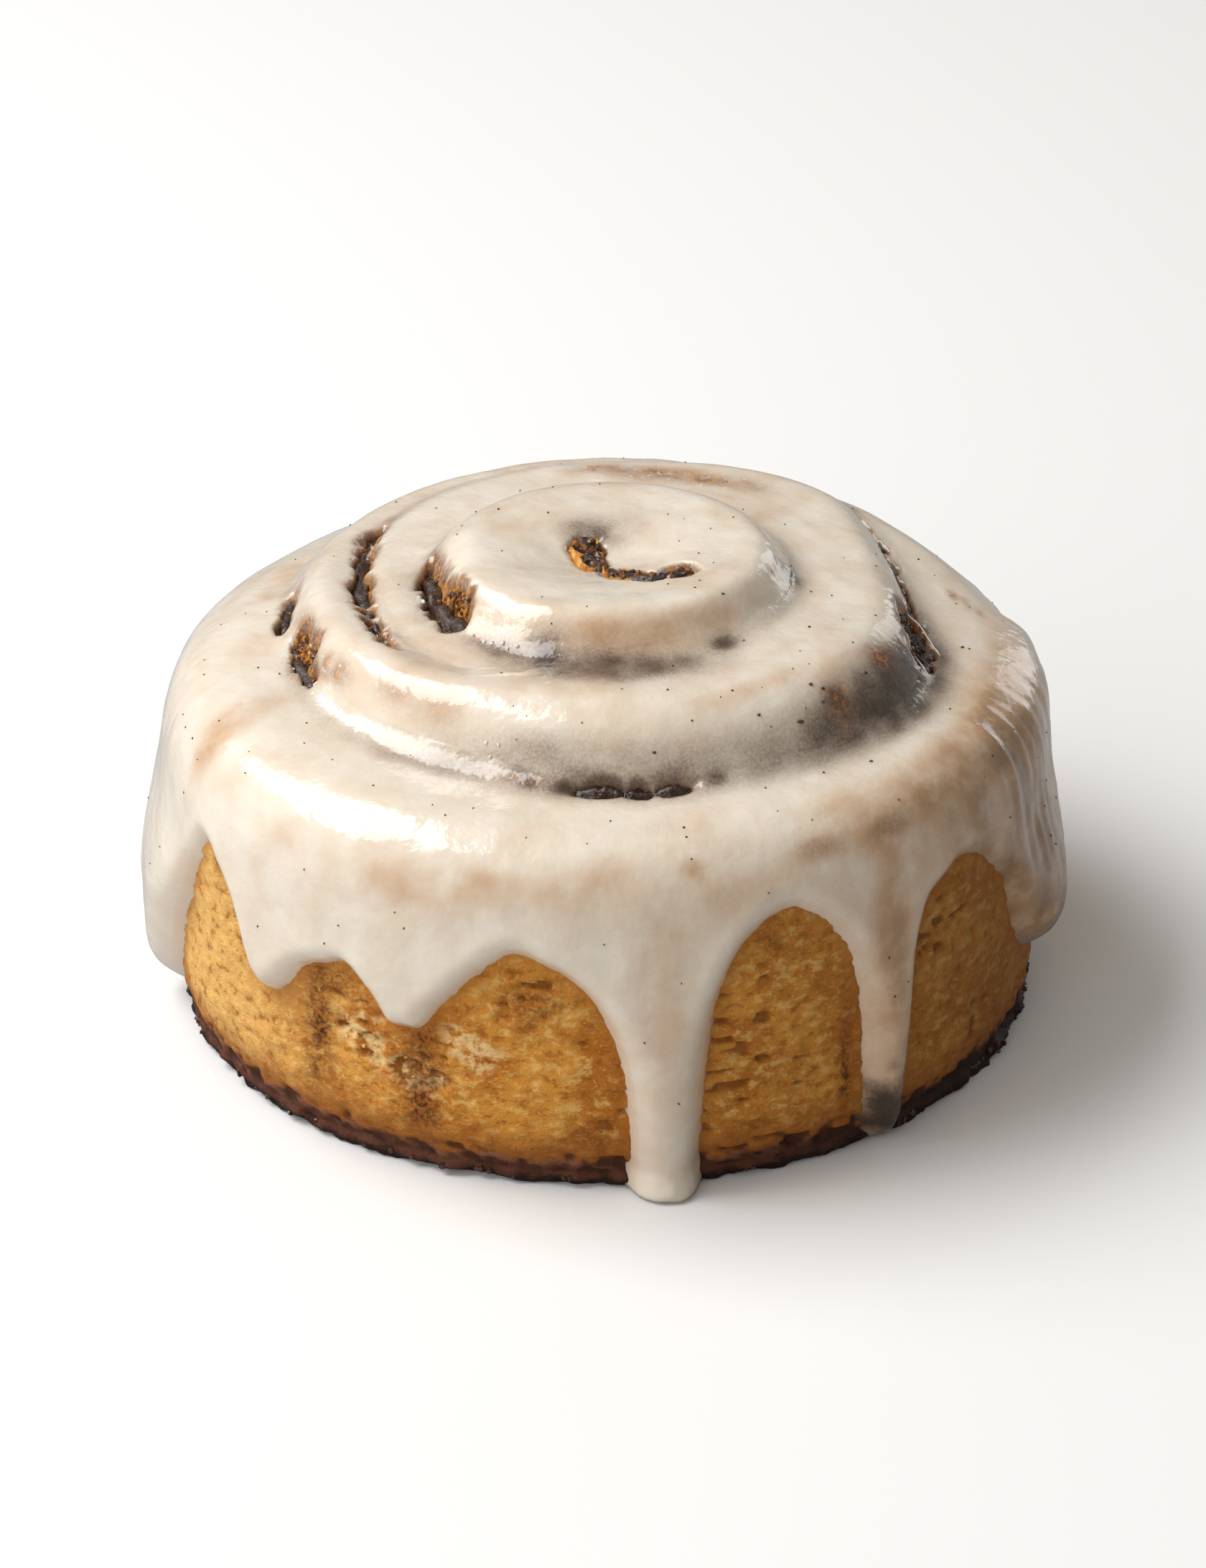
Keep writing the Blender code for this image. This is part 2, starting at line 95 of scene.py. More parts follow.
GROOVE = [(14, 1.6), (60, 1.4), (120, 1.2), (200, 1.6), (270, 2), (360, 1.6), (450, 1), (520, 2),
          (600, 2), (640, 1.9), (740, 1.4), (850, 1.4), (900, 1.8), (950, 1.2), (990, 0.3), (1179, 0.2)]
DOME_EDGE = [(0, 21.3), (40, 21.8), (80, 21.4), (120, 21), (160, 20.8), (185, 19.2), (215, 19.4),
             (232, 19.2), (250, 19.6), (280, 20.4), (312, 20.6), (340, 21), (360, 21.3)]

# Turns of the sheet's tail and of its inner end, degrees over which the tail comes up to its own level, and
# the turn from which the coil belongs to the middle
TAIL_TURN = 14.0
LAST_TURN = 1179.0
TAIL_RUN = 25.0
DOME_TURN = 560.0

# Rounded edge of a turn: least width, and width for each millimetre of its drop
ROUND_WIDTH = 3.2
ROUND_SHARE = 0.8

# Crease down the wall where the sheet's tail ends: angle, half width, depth, millimetres for a degree, and
# how far down the wall it starts to fade. The shoulder swells out before it: how far, the degrees over which
# it starts and stops, and its place and reach round the shoulder.
TAIL_ANGLE = 15.0
TAIL_WIDTH = 1.4
TAIL_DEPTH = 1.2
TAIL_SCALE = 0.88
TAIL_FADE = 1.2
TAIL_SWELL = 1.1
SWELL_START = 30.0
SWELL_STOP = 4.0
SWELL_PLACE = 0.8
SWELL_REACH = 0.45


def curve(knots, at):
    """Smooth curve through a table's points, with no overshoot between them."""
    x, y = np.array(knots, float).T
    step = np.diff(x)
    slope = np.diff(y) / step
    pair = slope[:-1] * slope[1:]
    tangent = np.zeros_like(y)
    tangent[1:-1] = np.where(pair > 0, 2 * pair / np.where(pair > 0, slope[:-1] + slope[1:], 1), 0)
    tangent[0] = slope[0]
    tangent[-1] = slope[-1]
    at = np.clip(at, x[0], x[-1])
    i = np.clip(np.searchsorted(x, at, side="right") - 1, 0, len(step) - 1)
    t = (at - x[i]) / step[i]
    ends = y[i] * (1 + 2 * t) * (1 - t) ** 2 + y[i + 1] * t * t * (3 - 2 * t)
    return ends + step[i] * (tangent[i] * t * (1 - t) ** 2 - tangent[i + 1] * t * t * (1 - t))


def smooth(x):
    """Soft step from 0 to 1."""
    x = np.clip(x, 0, 1)
    return x * x * (3 - 2 * x)


def hump(x):
    """Bell of height 1 and width about 1 each side."""
    return np.exp(-x * x)


def round_off(distance, width):
    """Quarter round: 1 at the seam, 0 where the turn is flat."""
    x = np.clip(distance / width, 0, 1)
    return 1 - np.sqrt(1 - (1 - x) ** 2)


def round_width(drop, across):
    """Width of the rounded edge of a turn that is so far across."""
    return np.clip(np.maximum(ROUND_WIDTH, drop * ROUND_SHARE), 0.3, 0.5 * across + 0.3)


def around(angle, at):
    """Degrees from a place round the roll, -180 to 180."""
    return (angle - at + 180) % 360 - 180


def from_oval(angle, radius, across, oval):
    """Distance from an oval's middle, 1 at its edge: it is (angle, across, half length, half width)."""
    at, middle, half_length, half_width = oval
    return np.hypot(np.radians(around(angle, at)) * radius / half_length, (across - middle) / half_width)


def dimple(angle, radius):
    """Depth of the hollow in the middle of the coil."""
    x, y, half_length, half_width = DIMPLE
    a = np.radians(angle)
    away = np.hypot((radius * np.cos(a) - x) / half_length, (radius * np.sin(a) - y) / half_width)
    return DIMPLE_DEPTH * hump(away)


def coil_top(angle, radius):
    """Height of the top of the turns."""
    rim = curve(RIM, angle)
    sloping = rim + curve(RISE, angle) * np.sqrt(np.maximum(RISE_EDGE - radius, 0) ** 2 + 0.5)
    turns = [angle + 360 * k for k in range(4)]
    seams = [curve(SEAM, turn) for turn in turns]
    seams[0] = np.where(turns[0] < TAIL_TURN, 99.0, seams[0])
    seams[3] = np.where(turns[3] > LAST_TURN, -99.0, seams[3])
    depths = [curve(GROOVE, turn) for turn in turns]
    raised = smooth((curve(DOME_EDGE, angle) - radius) / DOME_SLOPE + 0.35)
    first, second, third = (curve(LEVEL, turn) for turn in turns[:3])
    first = sloping + (first - sloping) * smooth((turns[0] - TAIL_TURN) / TAIL_RUN)
    second += (DOME_LEVEL - second) * raised * (turns[1] > DOME_TURN)
    third += (DOME_LEVEL - third) * raised
    levels = [sloping, first, second, third, np.full_like(radius, DOME_LEVEL)]
    height = np.zeros_like(radius)
    for j in range(5):
        outer = seams[j - 1] if j > 0 else np.full_like(radius, 999.0)
        inner = seams[j] if j < 4 else np.full_like(radius, -99.0)
        here = (radius < outer) & (radius >= inner)
        top = levels[j].copy()
        if j > 0:
            drop = levels[j] - np.minimum(levels[j - 1], levels[j]) + depths[j - 1]
            top -= drop * round_off(outer - radius, round_width(drop, outer - inner))
        if j < 4:
            drop = levels[j] - np.minimum(levels[j + 1], levels[j]) + depths[j]
            rounded = drop * round_off(radius - inner, round_width(drop, outer - inner))
            top -= np.where(inner > -50, rounded, 0)
        height = np.where(here, top, height)
    return height - dimple(angle, radius)


def roll_outline(angle, station):
    """Radius, height and facing of the roll's skin. Stations 0 to 1 run over the top, 1 to 2 round the
    shoulder and 2 to 3 down the wall; facing is 0 up and a quarter turn outward."""
    waist = curve(WAIST, angle)
    crest = waist - RIM_INSET
    rim = curve(RIM, angle)
    over = np.clip(station - 1, 0, 1) * np.pi / 2
    down = np.clip(station - 2, 0, 1) * np.pi / 2
    radius = crest * np.clip(station, 0, 1) + RIM_INSET * np.sin(over) ** SHOULDER_OUT
    base = curve(BASE, angle)
    radius = np.where(station > 2, base + (waist - base) * np.cos(down).clip(0) ** FOOT_OUT, radius)
    coil = coil_top(angle, radius)
    fall = np.cos(over).clip(0)
    shoulder = WAIST_HEIGHT + (rim - WAIST_HEIGHT) * fall ** SHOULDER_UP + (coil - rim) * fall ** 0.5
    height = np.where(station <= 1, coil, shoulder)
    height = np.where(station > 2, WAIST_HEIGHT * (1 - np.sin(down) ** FOOT_UP), height)
    tail = hump((angle - TAIL_ANGLE) * TAIL_SCALE / TAIL_WIDTH) * smooth((over - 0.5) / 0.6)
    tail = tail * (1 - smooth((down - TAIL_FADE) / 0.3))
    before = around(angle, 0)
    swell = smooth((TAIL_TURN - before) / SWELL_STOP) * smooth((before + SWELL_START) / SWELL_START)
    swell = swell * hump((over - SWELL_PLACE) / SWELL_REACH)
    return radius - TAIL_DEPTH * tail + TAIL_SWELL * swell, height, over


def seam_place(angle, radius):
    """Distance out from the nearest seam, and that seam's turn."""
    away = np.full_like(radius, 99.0)
    turn = np.zeros_like(radius)
    for k in range(4):
        here = angle + 360 * k
        gap = radius - curve(SEAM, here)
        gap = np.where((here < TAIL_TURN) | (here > LAST_TURN), 99.0, gap)
        nearer = np.abs(gap) < np.abs(away)
        away = np.where(nearer, gap, away)
        turn = np.where(nearer, here, turn)
    return away, turn


def lumps(place, size, seed=0):
    """Smooth random field from -1 to 1 over places in millimetres; size is a lump's width on each axis."""
    q = place / np.array(size, float)
    cell = np.floor(q).astype(np.int64)
    part = q - cell
    part = part * part * (3 - 2 * part)
    total = 0.0
    for corner in product((0, 1), repeat=3):
        x, y, z = (cell[..., k] + corner[k] for k in range(3))
        mixed = (x * 73856093) ^ (y * 19349663) ^ (z * 83492791) ^ (seed * 2654435761)
        mixed = (mixed ^ (mixed >> 15)) * 2246822519 & 0xFFFFFFFF
        mixed = (mixed ^ (mixed >> 13)) * 3266489917 & 0xFFFFFFFF
        value = ((mixed ^ (mixed >> 16)) & 0xFFFF) / 32767.5 - 1
        weight = 1.0
        for k in range(3):
            weight = weight * (part[..., k] if corner[k] else 1 - part[..., k])
        total = total + value * weight
    return total


def rough(place, size, seed=0, octaves=3):
    """Lumps at several sizes on top of each other."""
    size = np.ones(3) * size
    return sum(lumps(place + 13.7 * k, size / 2 ** k, seed + k) / 2 ** k for k in range(octaves)) / 1.4


def place_xyz(angle, radius, height):
    """Points from angle, radius and height."""
    a = np.radians(angle)
    return np.stack([radius * np.cos(a), radius * np.sin(a), height], axis=-1)


# Steps of the profile that the stations are picked from
FINE_STEPS = 1500


def skin_grid(front_steps, back_steps, rings, closeness):
    """Angle and station of each place on a skin. Angles are closer together on the front half, and stations
    are evenly spaced along the profile but for how close they are on top and on the side."""
    back = np.linspace(0, 180, back_steps, endpoint=False)
    front = np.linspace(180, 360, front_steps, endpoint=False)
    angles = np.concatenate([back, front])
    fine = np.linspace(0.0005, 3, FINE_STEPS)
    radius, height, _ = roll_outline(*np.meshgrid(angles, fine))
    side_start, on_top, on_side = closeness
    weight = np.where(fine[1:] < side_start, on_top, on_side)[:, None]
    run = np.hypot(np.diff(radius, axis=0), np.diff(height, axis=0)) * weight
    run = np.concatenate([np.zeros((1, len(angles))), np.cumsum(run, axis=0)])
    share = np.linspace(0, 1, rings)
    station = np.stack([np.interp(share * column[-1], column, fine) for column in run.T], axis=1)
    return np.broadcast_to(angles[None, :], station.shape), station


def ring_faces(rings, steps, start=0):
    """Corner numbers of a grid of closed rings: of each place, of the next one round, and of each face."""
    grid = start + np.arange(rings * steps).reshape(rings, steps)
    after = np.roll(grid, -1, axis=1)
    return grid, after, np.stack([grid[:-1], grid[1:], after[1:], after[:-1]], axis=-1)


def skin_mesh(name, points, lowest):
    """Closed mesh from rings of points in millimetres, with a middle point above and below."""
    rings, steps, _ = points.shape
    summit = points[0].mean(axis=0)
    places = np.concatenate([[summit], points.reshape(-1, 3), [[0, 0, lowest]]]) * MM
    grid, after, quads = ring_faces(rings, steps, 1)
    top = [(0, int(a), int(b)) for a, b in zip(grid[0], after[0])]
    bottom = [(int(a), len(places) - 1, int(b)) for a, b in zip(grid[-1], after[-1])]
    mesh = bpy.data.meshes.new(name)
    mesh.from_pydata(places.tolist(), [], quads.reshape(-1, 4).tolist() + top + bottom)
    mesh.shade_smooth()
    return mesh


def paint(mesh, name, values):
    """Store one number a vertex; values leave out the two middle points."""
    full = np.concatenate([[values[0].mean()], np.ravel(values), [values[-1].mean()]])
    mesh.attributes.new(name, "FLOAT", "POINT").data.foreach_set("value", full.astype(np.float32))


def show(name, mesh):
    """Object in the scene for a mesh."""
    piece = bpy.data.objects.new(name, mesh)
    bpy.context.scene.collection.objects.link(piece)
    return piece


# Poured icing levels itself as if a ball had closed the grooves: step and reach of the table of its level,
# radius of the ball, how many steps and degrees it is softened over, how far it may thin out on a crest, and
# how gently it comes back to the dough
POUR_STEP = 0.1
POUR_REACH = 52
POUR_BALL = 4.2
POUR_SOFTEN = 8
POUR_TURN_SOFTEN = 5
POUR_THIN = 0.75
POUR_MEET = 0.5


def rolled(values, step, ball, sign):
    """One pass of a ball over heights along the first axis: over the top for sign 1, under it for -1."""
    reach = int(ball / step)
    padded = np.concatenate([values[:1]] * reach + [values] + [values[-1:]] * reach)
    best = None
    for k in range(-reach, reach + 1):
        cap = np.sqrt(ball ** 2 - (k * step) ** 2)
        moved = padded[reach + k:reach + k + len(values)] + sign * cap
        best = moved if best is None else (np.maximum(best, moved) if sign > 0 else np.minimum(best, moved))
    return best


def softened(values, reach):
    """Values softened along the first axis."""
    taps = np.arange(-3 * reach, 3 * reach + 1)
    weights = np.exp(-0.5 * (taps / reach) ** 2)
    weights /= weights.sum()
    padded = np.concatenate([values[:1]] * (3 * reach) + [values] + [values[-1:]] * (3 * reach))
    return sum(w * padded[k:k + len(values)] for k, w in enumerate(weights))


def poured_level():
    """Level of poured icing for each degree round the roll and each tenth of a millimetre out."""
    angle, along = np.meshgrid(np.arange(361.0), np.arange(0, POUR_REACH, POUR_STEP))
    level = rolled(rolled(coil_top(angle, along), POUR_STEP, POUR_BALL, 1), POUR_STEP, POUR_BALL, -1)
    level = softened(level, POUR_SOFTEN).T
    margin = 3 * POUR_TURN_SOFTEN
    round_again = np.concatenate([level[-1 - margin:-1], level, level[1:1 + margin]])
    return softened(round_again, POUR_TURN_SOFTEN)[margin:-margin].T


POURED_LEVEL = poured_level()


def pour_lift(angle, radius):
    """How far the icing's underside levels itself over the dough: up in the grooves, down on the edges."""
    angle = angle % 360
    column = np.clip(angle.astype(int), 0, 359)
    row = np.clip((radius / POUR_STEP).astype(int), 0, len(POURED_LEVEL) - 2)
    u = angle - column
    v = np.clip(radius / POUR_STEP - row, 0, 1)
    near = POURED_LEVEL[row, column] * (1 - v) + POURED_LEVEL[row + 1, column] * v
    far = POURED_LEVEL[row, column + 1] * (1 - v) + POURED_LEVEL[row + 1, column + 1] * v
    above = near * (1 - u) + far * u - coil_top(angle, radius) + POUR_THIN
    return 0.5 * (above + np.sqrt(above ** 2 + POUR_MEET ** 2)) - POUR_THIN


# Where the icing leaves a hole: (angle, radius, half length round the coil, half width)
HOLES = [(170, 19.9, 1.5, 0.5), (178, 19.8, 2.0, 1.2), (186, 19.2, 2.0, 1.3), (195, 19.2, 2.0, 1.5),
         (204, 19.2, 2.4, 1.8), (212.5, 19.6, 2.0, 1.7), (149, 31.4, 1.7, 0.7), (155, 30.2, 1.5, 0.5),
         (161.5, 29.0, 2.0, 0.9), (168, 28.4, 1.5, 0.7), (176, 27.8, 2.3, 1.2), (184, 27.5, 1.8, 0.8),
         (190.5, 27.2, 1.5, 0.9), (196.5, 27.2, 1.6, 0.8), (203, 27.5, 1.8, 0.7), (209.5, 28.0, 1.4, 0.5),
         (174.5, 36.2, 2.2, 0.7), (180, 36.6, 1.4, 0.5), (190.5, 34.8, 1.6, 1.0), (196.0, 34.9, 1.9, 1.3),
         (201.5, 35.4, 1.2, 0.7), (269.5, 37.6, 2.2, 0.8), (276.0, 38.0, 1.3, 0.75),
         (281.5, 38.0, 1.6, 0.65), (347, 36.7, 2.2, 1.4), (351.5, 35.9, 2.6, 2.0), (355.5, 35.2, 2.2, 1.7),
         (358.5, 34.8, 1.6, 1.2), (4, 35.5, 1.4, 0.6), (11, 35.5, 1.6, 0.6), (18, 36.0, 1.5, 0.55),
         (25, 37.0, 1.5, 0.5), (32, 38.1, 1.4, 0.5), (39, 39.3, 1.3, 0.45)]

# Holes in the middle, where the sheet's inner end shows: (x, y, half length, half width, direction)
MIDDLE_HOLES = [(-1.9, 2.4, 2.2, 1.7, 95), (-1.3, -0.6, 1.8, 1.4, 110), (2.1, -4.6, 2.2, 1.7, 140),
                (5.0, -6.3, 1.9, 1.7, 170), (8.2, -5.5, 2.0, 1.8, 25)]

# Ragged rim of a hole: (size of its lumps, how far they reach, seed), and how much smoother it is in front,
# round an angle and outside a radius
RAGGED_RIM = [(1.2, 0.30, 5), (0.6, 0.18, 6)]
FRONT_SMOOTH = 0.65
FRONT_ANGLE = 272
FRONT_REACH = 22
OUTER_SEAM = 33


def hole_field(angle, radius):
    """How far inside a hole in the icing a place is: 0 at its edge, below 0 outside, in millimetres."""
    place = place_xyz(angle, radius, 0 * radius)
    field = np.full_like(radius, -9.0)
    for oval in HOLES:
        field = np.maximum(field, (1 - from_oval(angle, radius, radius, oval)) * oval[3])
    for x, y, half_length, half_width, direction in MIDDLE_HOLES:
        a = np.radians(direction)
        along = (place[..., 0] - x) * np.cos(a) + (place[..., 1] - y) * np.sin(a)
        across = -(place[..., 0] - x) * np.sin(a) + (place[..., 1] - y) * np.cos(a)
        far = np.hypot(along / half_length, across / half_width)
        field = np.maximum(field, (1 - far) * half_width)
    ragged = sum(reach * lumps(place, (size, size, size), seed) for size, reach, seed in RAGGED_RIM)
    front = hump(around(angle, FRONT_ANGLE) / FRONT_REACH) * (radius > OUTER_SEAM)
    return field + ragged * smooth((field + 3) / 2) * (1 - FRONT_SMOOTH * front)


# Fineness of the dough's mesh: rings, steps round the front and the back half, and closeness of the rings:
# (station where the side starts, on top, on the side)
DOUGH_RINGS = 186
DOUGH_FRONT = 366
DOUGH_BACK = 146
DOUGH_CLOSENESS = (1.15, 0.9, 1.6)

# How far crumb and paste have risen in a hole: share of the icing's level, and more in the middle
HOLE_FILL = 0.95
MIDDLE_FILL = 1.9
MIDDLE_SPREAD = 13.0
MIDDLE_REACH = 11.0

# Relief of the crumb on the side: sizes of its pores, depths of pores, waves and grit, and the highest place
# that has open pores
SIDE_RADIUS = 51.0
PORE_SIZE = (2.2, 2.2, 0.8)
PORE_DEPTH = 0.6
SMALL_PORE_SIZE = (1.0, 1.0, 0.7)
SMALL_PORE_DEPTH = 0.20
WAVE_SINK = 0.22
WAVE_DEPTH = 0.18
GRIT_DEPTH = 0.24
PORES_TOP = 34

# The foot: height and depth of the pits above the rim, how far the foot draws in, and how far the burnt rim
# under it stands out, with its raggedness
FOOT_PITS = 3.4
FOOT_PIT_DEPTH = 0.45
FOOT_DRAWN = 0.45
RIM_OUT = 0.55
RIM_RAGGED = 0.75

# Torn places: (angle, height, half length, half height), and how deep they and the pits between flakes are
TORN_RADIUS = 51.5
TORN_DEPTH = 0.10
FLAKE_DEPTH = 0.7
TORN = [(252.5, 16.8, 5.5, 3.6), (239.0, 16.0, 4.5, 3.4), (246.0, 12.5, 6.0, 2.4)]

# Painted light that makes the side paler on the left, and painted shade that makes it darker on the right:
# angle and reach of each
LIT_SIDE = 208
LIT_REACH = 22
SHADED_SIDE = 338
SHADED_REACH = 42

# Brown stains that ran down the side, and a thin dark line down the side beside the drip at 301 degrees:
# (angle, height, half width, half height, strength)
STAINS = [(232.3, 16, 1.9, 6.5, 1.2), (231.0, 8, 1.4, 4.5, 0.7), (247.2, 16, 1.8, 4.5, 1.2),
          (247.0, 8, 2.0, 5.0, 1.3), (233.5, 22, 3.0, 2.2, 1.0), (212.5, 29.5, 1.0, 2.5, 0.6),
          (301.3, 10, 0.7, 9.0, 1.0), (301.0, 20, 0.8, 5.0, 0.5), (262.0, 24, 5.0, 3.0, 0.5),
          (268.0, 7, 4.0, 2.5, 0.5), (290.0, 30, 4.0, 2.2, 0.4), (110.0, 14, 2.0, 7.0, 0.7),
          (35.0, 18, 2.2, 6.0, 0.6), (150.0, 12, 1.6, 6.0, 0.6)]


# Crumb in a hole: how deep it is sunk, its roughness, and how deep the pits beside the seam are
PIT_DEPTH = 0.25
PIT_ROUGH = 0.35
PIT_GRAINS = 1.2

# How far from the seam the black paste and the glazed crust reach, and the station where both end
PASTY_REACH = 1.5
CRUSTY_REACH = 3.4
SEAM_END = 1.05


def hole_fill(angle, radius):
    """How far crumb and paste have risen in a hole."""
    return HOLE_FILL * pour_lift(angle, radius) + MIDDLE_FILL * hump(radius / MIDDLE_SPREAD)


def stain_field(angle, height):
    """Strength of the brown stains on the side of the roll."""
    total = np.zeros_like(height)
    for *oval, strength in STAINS:
        total = np.maximum(total, strength * hump(from_oval(angle, SIDE_RADIUS, height, oval)))
    return total


def torn_field(angle, height):
    """1 inside the torn places on the front, 0 outside them."""
    total = np.full_like(height, -1.0)
    for oval in TORN:
        total = np.maximum(total, 1 - from_oval(angle, TORN_RADIUS, height, oval))
    return smooth(1.6 * (total + 0.45 * rough(place_xyz(angle, SIDE_RADIUS + 0 * height, height), 3.2, 24)))


def crumb_relief(angle, radius, height, station):
    """How far the crumb is sunk below the roll's smooth skin."""
    place = place_xyz(angle, radius, height)
    side = smooth((station - 1.25) / 0.3)
    open_crumb = smooth((rough(place, 9.0, 16) + 0.35) / 0.6) * smooth((PORES_TOP - height) / 10)
    flat_pores = smooth((lumps(place, PORE_SIZE, 11) - 0.30) / 0.30) * open_crumb
    small_pores = smooth((lumps(place, SMALL_PORE_SIZE, 12) - 0.30) / 0.4)
    waves = WAVE_SINK + WAVE_DEPTH * rough(place, 4.5, 13)
    grit = GRIT_DEPTH * rough(place, (1.5, 1.5, 1.0), 17)
    sunk = side * (PORE_DEPTH * flat_pores + SMALL_PORE_DEPTH * small_pores + waves + grit)
    foot_pits = smooth(lumps(place, (1.8, 1.8, 1.0), 19) / 0.4)
    sunk += side * FOOT_PIT_DEPTH * foot_pits * hump((height - FOOT_PITS) / 1.5)
    flaked = smooth((lumps(place, (2.0, 2.0, 1.4), 14) + 0.1) / 0.25) * smooth(rough(place, 4.0, 18) + 0.6)
    sunk += torn_field(angle, height) * (TORN_DEPTH + FLAKE_DEPTH * flaked)
    foot = side * smooth((5.0 - height) / 3.0)
    rim = side * smooth((2.4 - height) / 1.1)
    return sunk + foot * FOOT_DRAWN - rim * (RIM_OUT + RIM_RAGGED * rough(place, (2.4, 2.4, 1.5), 15))


# Places on the dough's skin
angle, station = skin_grid(DOUGH_FRONT, DOUGH_BACK, DOUGH_RINGS, DOUGH_CLOSENESS)
radius, height, facing = roll_outline(angle, station)
sunk = crumb_relief(angle, radius, height, station)
hole = np.where(station < 1, hole_field(angle, radius), -9.0)
place = place_xyz(angle, radius, height)
away, turn = seam_place(angle, radius)
crust = rough(place, 1.3, 21)
in_hole = smooth((hole + 0.4) / 0.7)
grainy = smooth((lumps(place, (1.3, 1.3, 1.3), 22) + 0.25) / 0.5)
pit = in_hole * (PIT_DEPTH + PIT_ROUGH * crust + PIT_GRAINS * grainy * hump((away - 0.2) / 1.6))
filled = hole_fill(angle, radius) * smooth((hole + 0.6) / 0.5)
dough_height = np.maximum(height - sunk * np.cos(facing) - pit + filled, 0.0)
dough_radius = radius - sunk * np.sin(facing)
dough_points = place_xyz(angle, dough_radius, dough_height)
dough_mesh = skin_mesh("baked_coil", dough_points, 0.0)
pasty = smooth((PASTY_REACH - np.abs(away - 0.4)) / 1.2 + 0.45 * crust) * (station < SEAM_END)
pasty = np.maximum(pasty, hump(radius / MIDDLE_REACH) * smooth((hole + 0.1) / 0.4))
crusty = smooth((CRUSTY_REACH - np.abs(away + 0.8)) / 1.6 + 0.3 * crust) * (station < SEAM_END)
paint(dough_mesh, "pasty", pasty)
paint(dough_mesh, "crusty", crusty)
paint(dough_mesh, "torn", torn_field(angle, height))
paint(dough_mesh, "stained", stain_field(angle, height) * (0.75 + 0.4 * rough(place, 2.0, 23)))
paint(dough_mesh, "pore", sunk)
# Painted light on the left of the side and painted shade on its right
paint(dough_mesh, "pale", hump(around(angle, LIT_SIDE) / LIT_REACH))
paint(dough_mesh, "painted_shade_right", hump(around(angle, SHADED_SIDE) / SHADED_REACH))
baked_coil = show("baked_coil", dough_mesh)


class Finish:
    """Small builder for a material's nodes."""

    def __init__(self, name):
        self.material = bpy.data.materials.new(name)
        self.material.use_nodes = True
        self.tree = self.material.node_tree
        self.shader = self.tree.nodes["Principled BSDF"]
        self.place = self.add("ShaderNodeTexCoord").outputs["Object"]

    def feed(self, node, inputs):
        """Link a node's inputs to other sockets, or set their values."""
        for name, value in inputs.items():
            if isinstance(value, bpy.types.NodeSocket):
                self.tree.links.new(value, node.inputs[name])
            else:
                node.inputs[name].default_value = value

    def add(self, kind, inputs=None, **settings):
        """New node with its settings and its inputs."""
        node = self.tree.nodes.new(kind)
        for name, value in settings.items():
            setattr(node, name, value)
        self.feed(node, inputs or {})
        return node

    def stretched(self, scale):
        """Object place with another scale on each axis."""
        return self.add("ShaderNodeMapping", {"Vector": self.place, "Scale": scale}).outputs["Vector"]

    def noise(self, size, detail=3.0, roughness=0.55, place=None):
        """Noise from 0 to 1 whose lumps are about size millimetres."""
        inputs = {"Vector": place or self.place, "Scale": 1 / (size * MM), "Detail": detail,
                  "Roughness": roughness}
        return self.add("ShaderNodeTexNoise", inputs).outputs["Fac"]

    def attribute(self, name):
        """A number stored on the vertices."""
        return self.add("ShaderNodeAttribute", attribute_name=name).outputs["Fac"]

    def math(self, operation, a, b):
        """Arithmetic on two numbers."""
        return self.add("ShaderNodeMath", {0: a, 1: b}, operation=operation).outputs["Value"]

    def times(self, a, b):
        """Product of two numbers."""
        return self.math("MULTIPLY", a, b)

    def step(self, value, low, high):
        """Soft step: 0 below low, 1 above high."""
        inputs = {"Value": value, "From Min": low, "From Max": high}
        return self.add("ShaderNodeMapRange", inputs, interpolation_type="SMOOTHSTEP").outputs["Result"]

    def level(self):
        """Height above the floor in millimetres."""
        return self.times(self.add("ShaderNodeSeparateXYZ", {"Vector": self.place}).outputs["Z"], 1 / MM)

    def blend(self, amount, first, second):
        """Colour between two colours."""
        first, second = ((*c, 1.0) if isinstance(c, tuple) else c for c in (first, second))
        inputs = {"Factor": amount, 6: first, 7: second}
        return self.add("ShaderNodeMix", inputs, data_type="RGBA").outputs[2]

    def layered(self, colour, *layers):
        """Colour with others laid over it one by one, each given as (amount, colour)."""
        for amount, layer in layers:
            colour = self.blend(amount, colour, layer)
        return colour

    def bump(self, height, distance, strength=1.0, before=None):
        """Bump whose full height is distance millimetres."""
        inputs = {"Height": height, "Distance": distance * MM, "Strength": strength}
        if before is not None:
            inputs["Normal"] = before
        return self.add("ShaderNodeBump", inputs).outputs["Normal"]

    def finish(self, colour, roughness, normal, **constants):
        """Join the results to the shader; constants go straight on its sockets."""
        inputs = {"Base Color": colour, "Roughness": roughness, "Normal": normal}
        if "Coat_Weight" in constants:
            inputs["Coat Normal"] = normal
        self.feed(self.shader, inputs)
        self.feed(self.shader, {name.replace("_", " "): value for name, value in constants.items()})
        return self.material


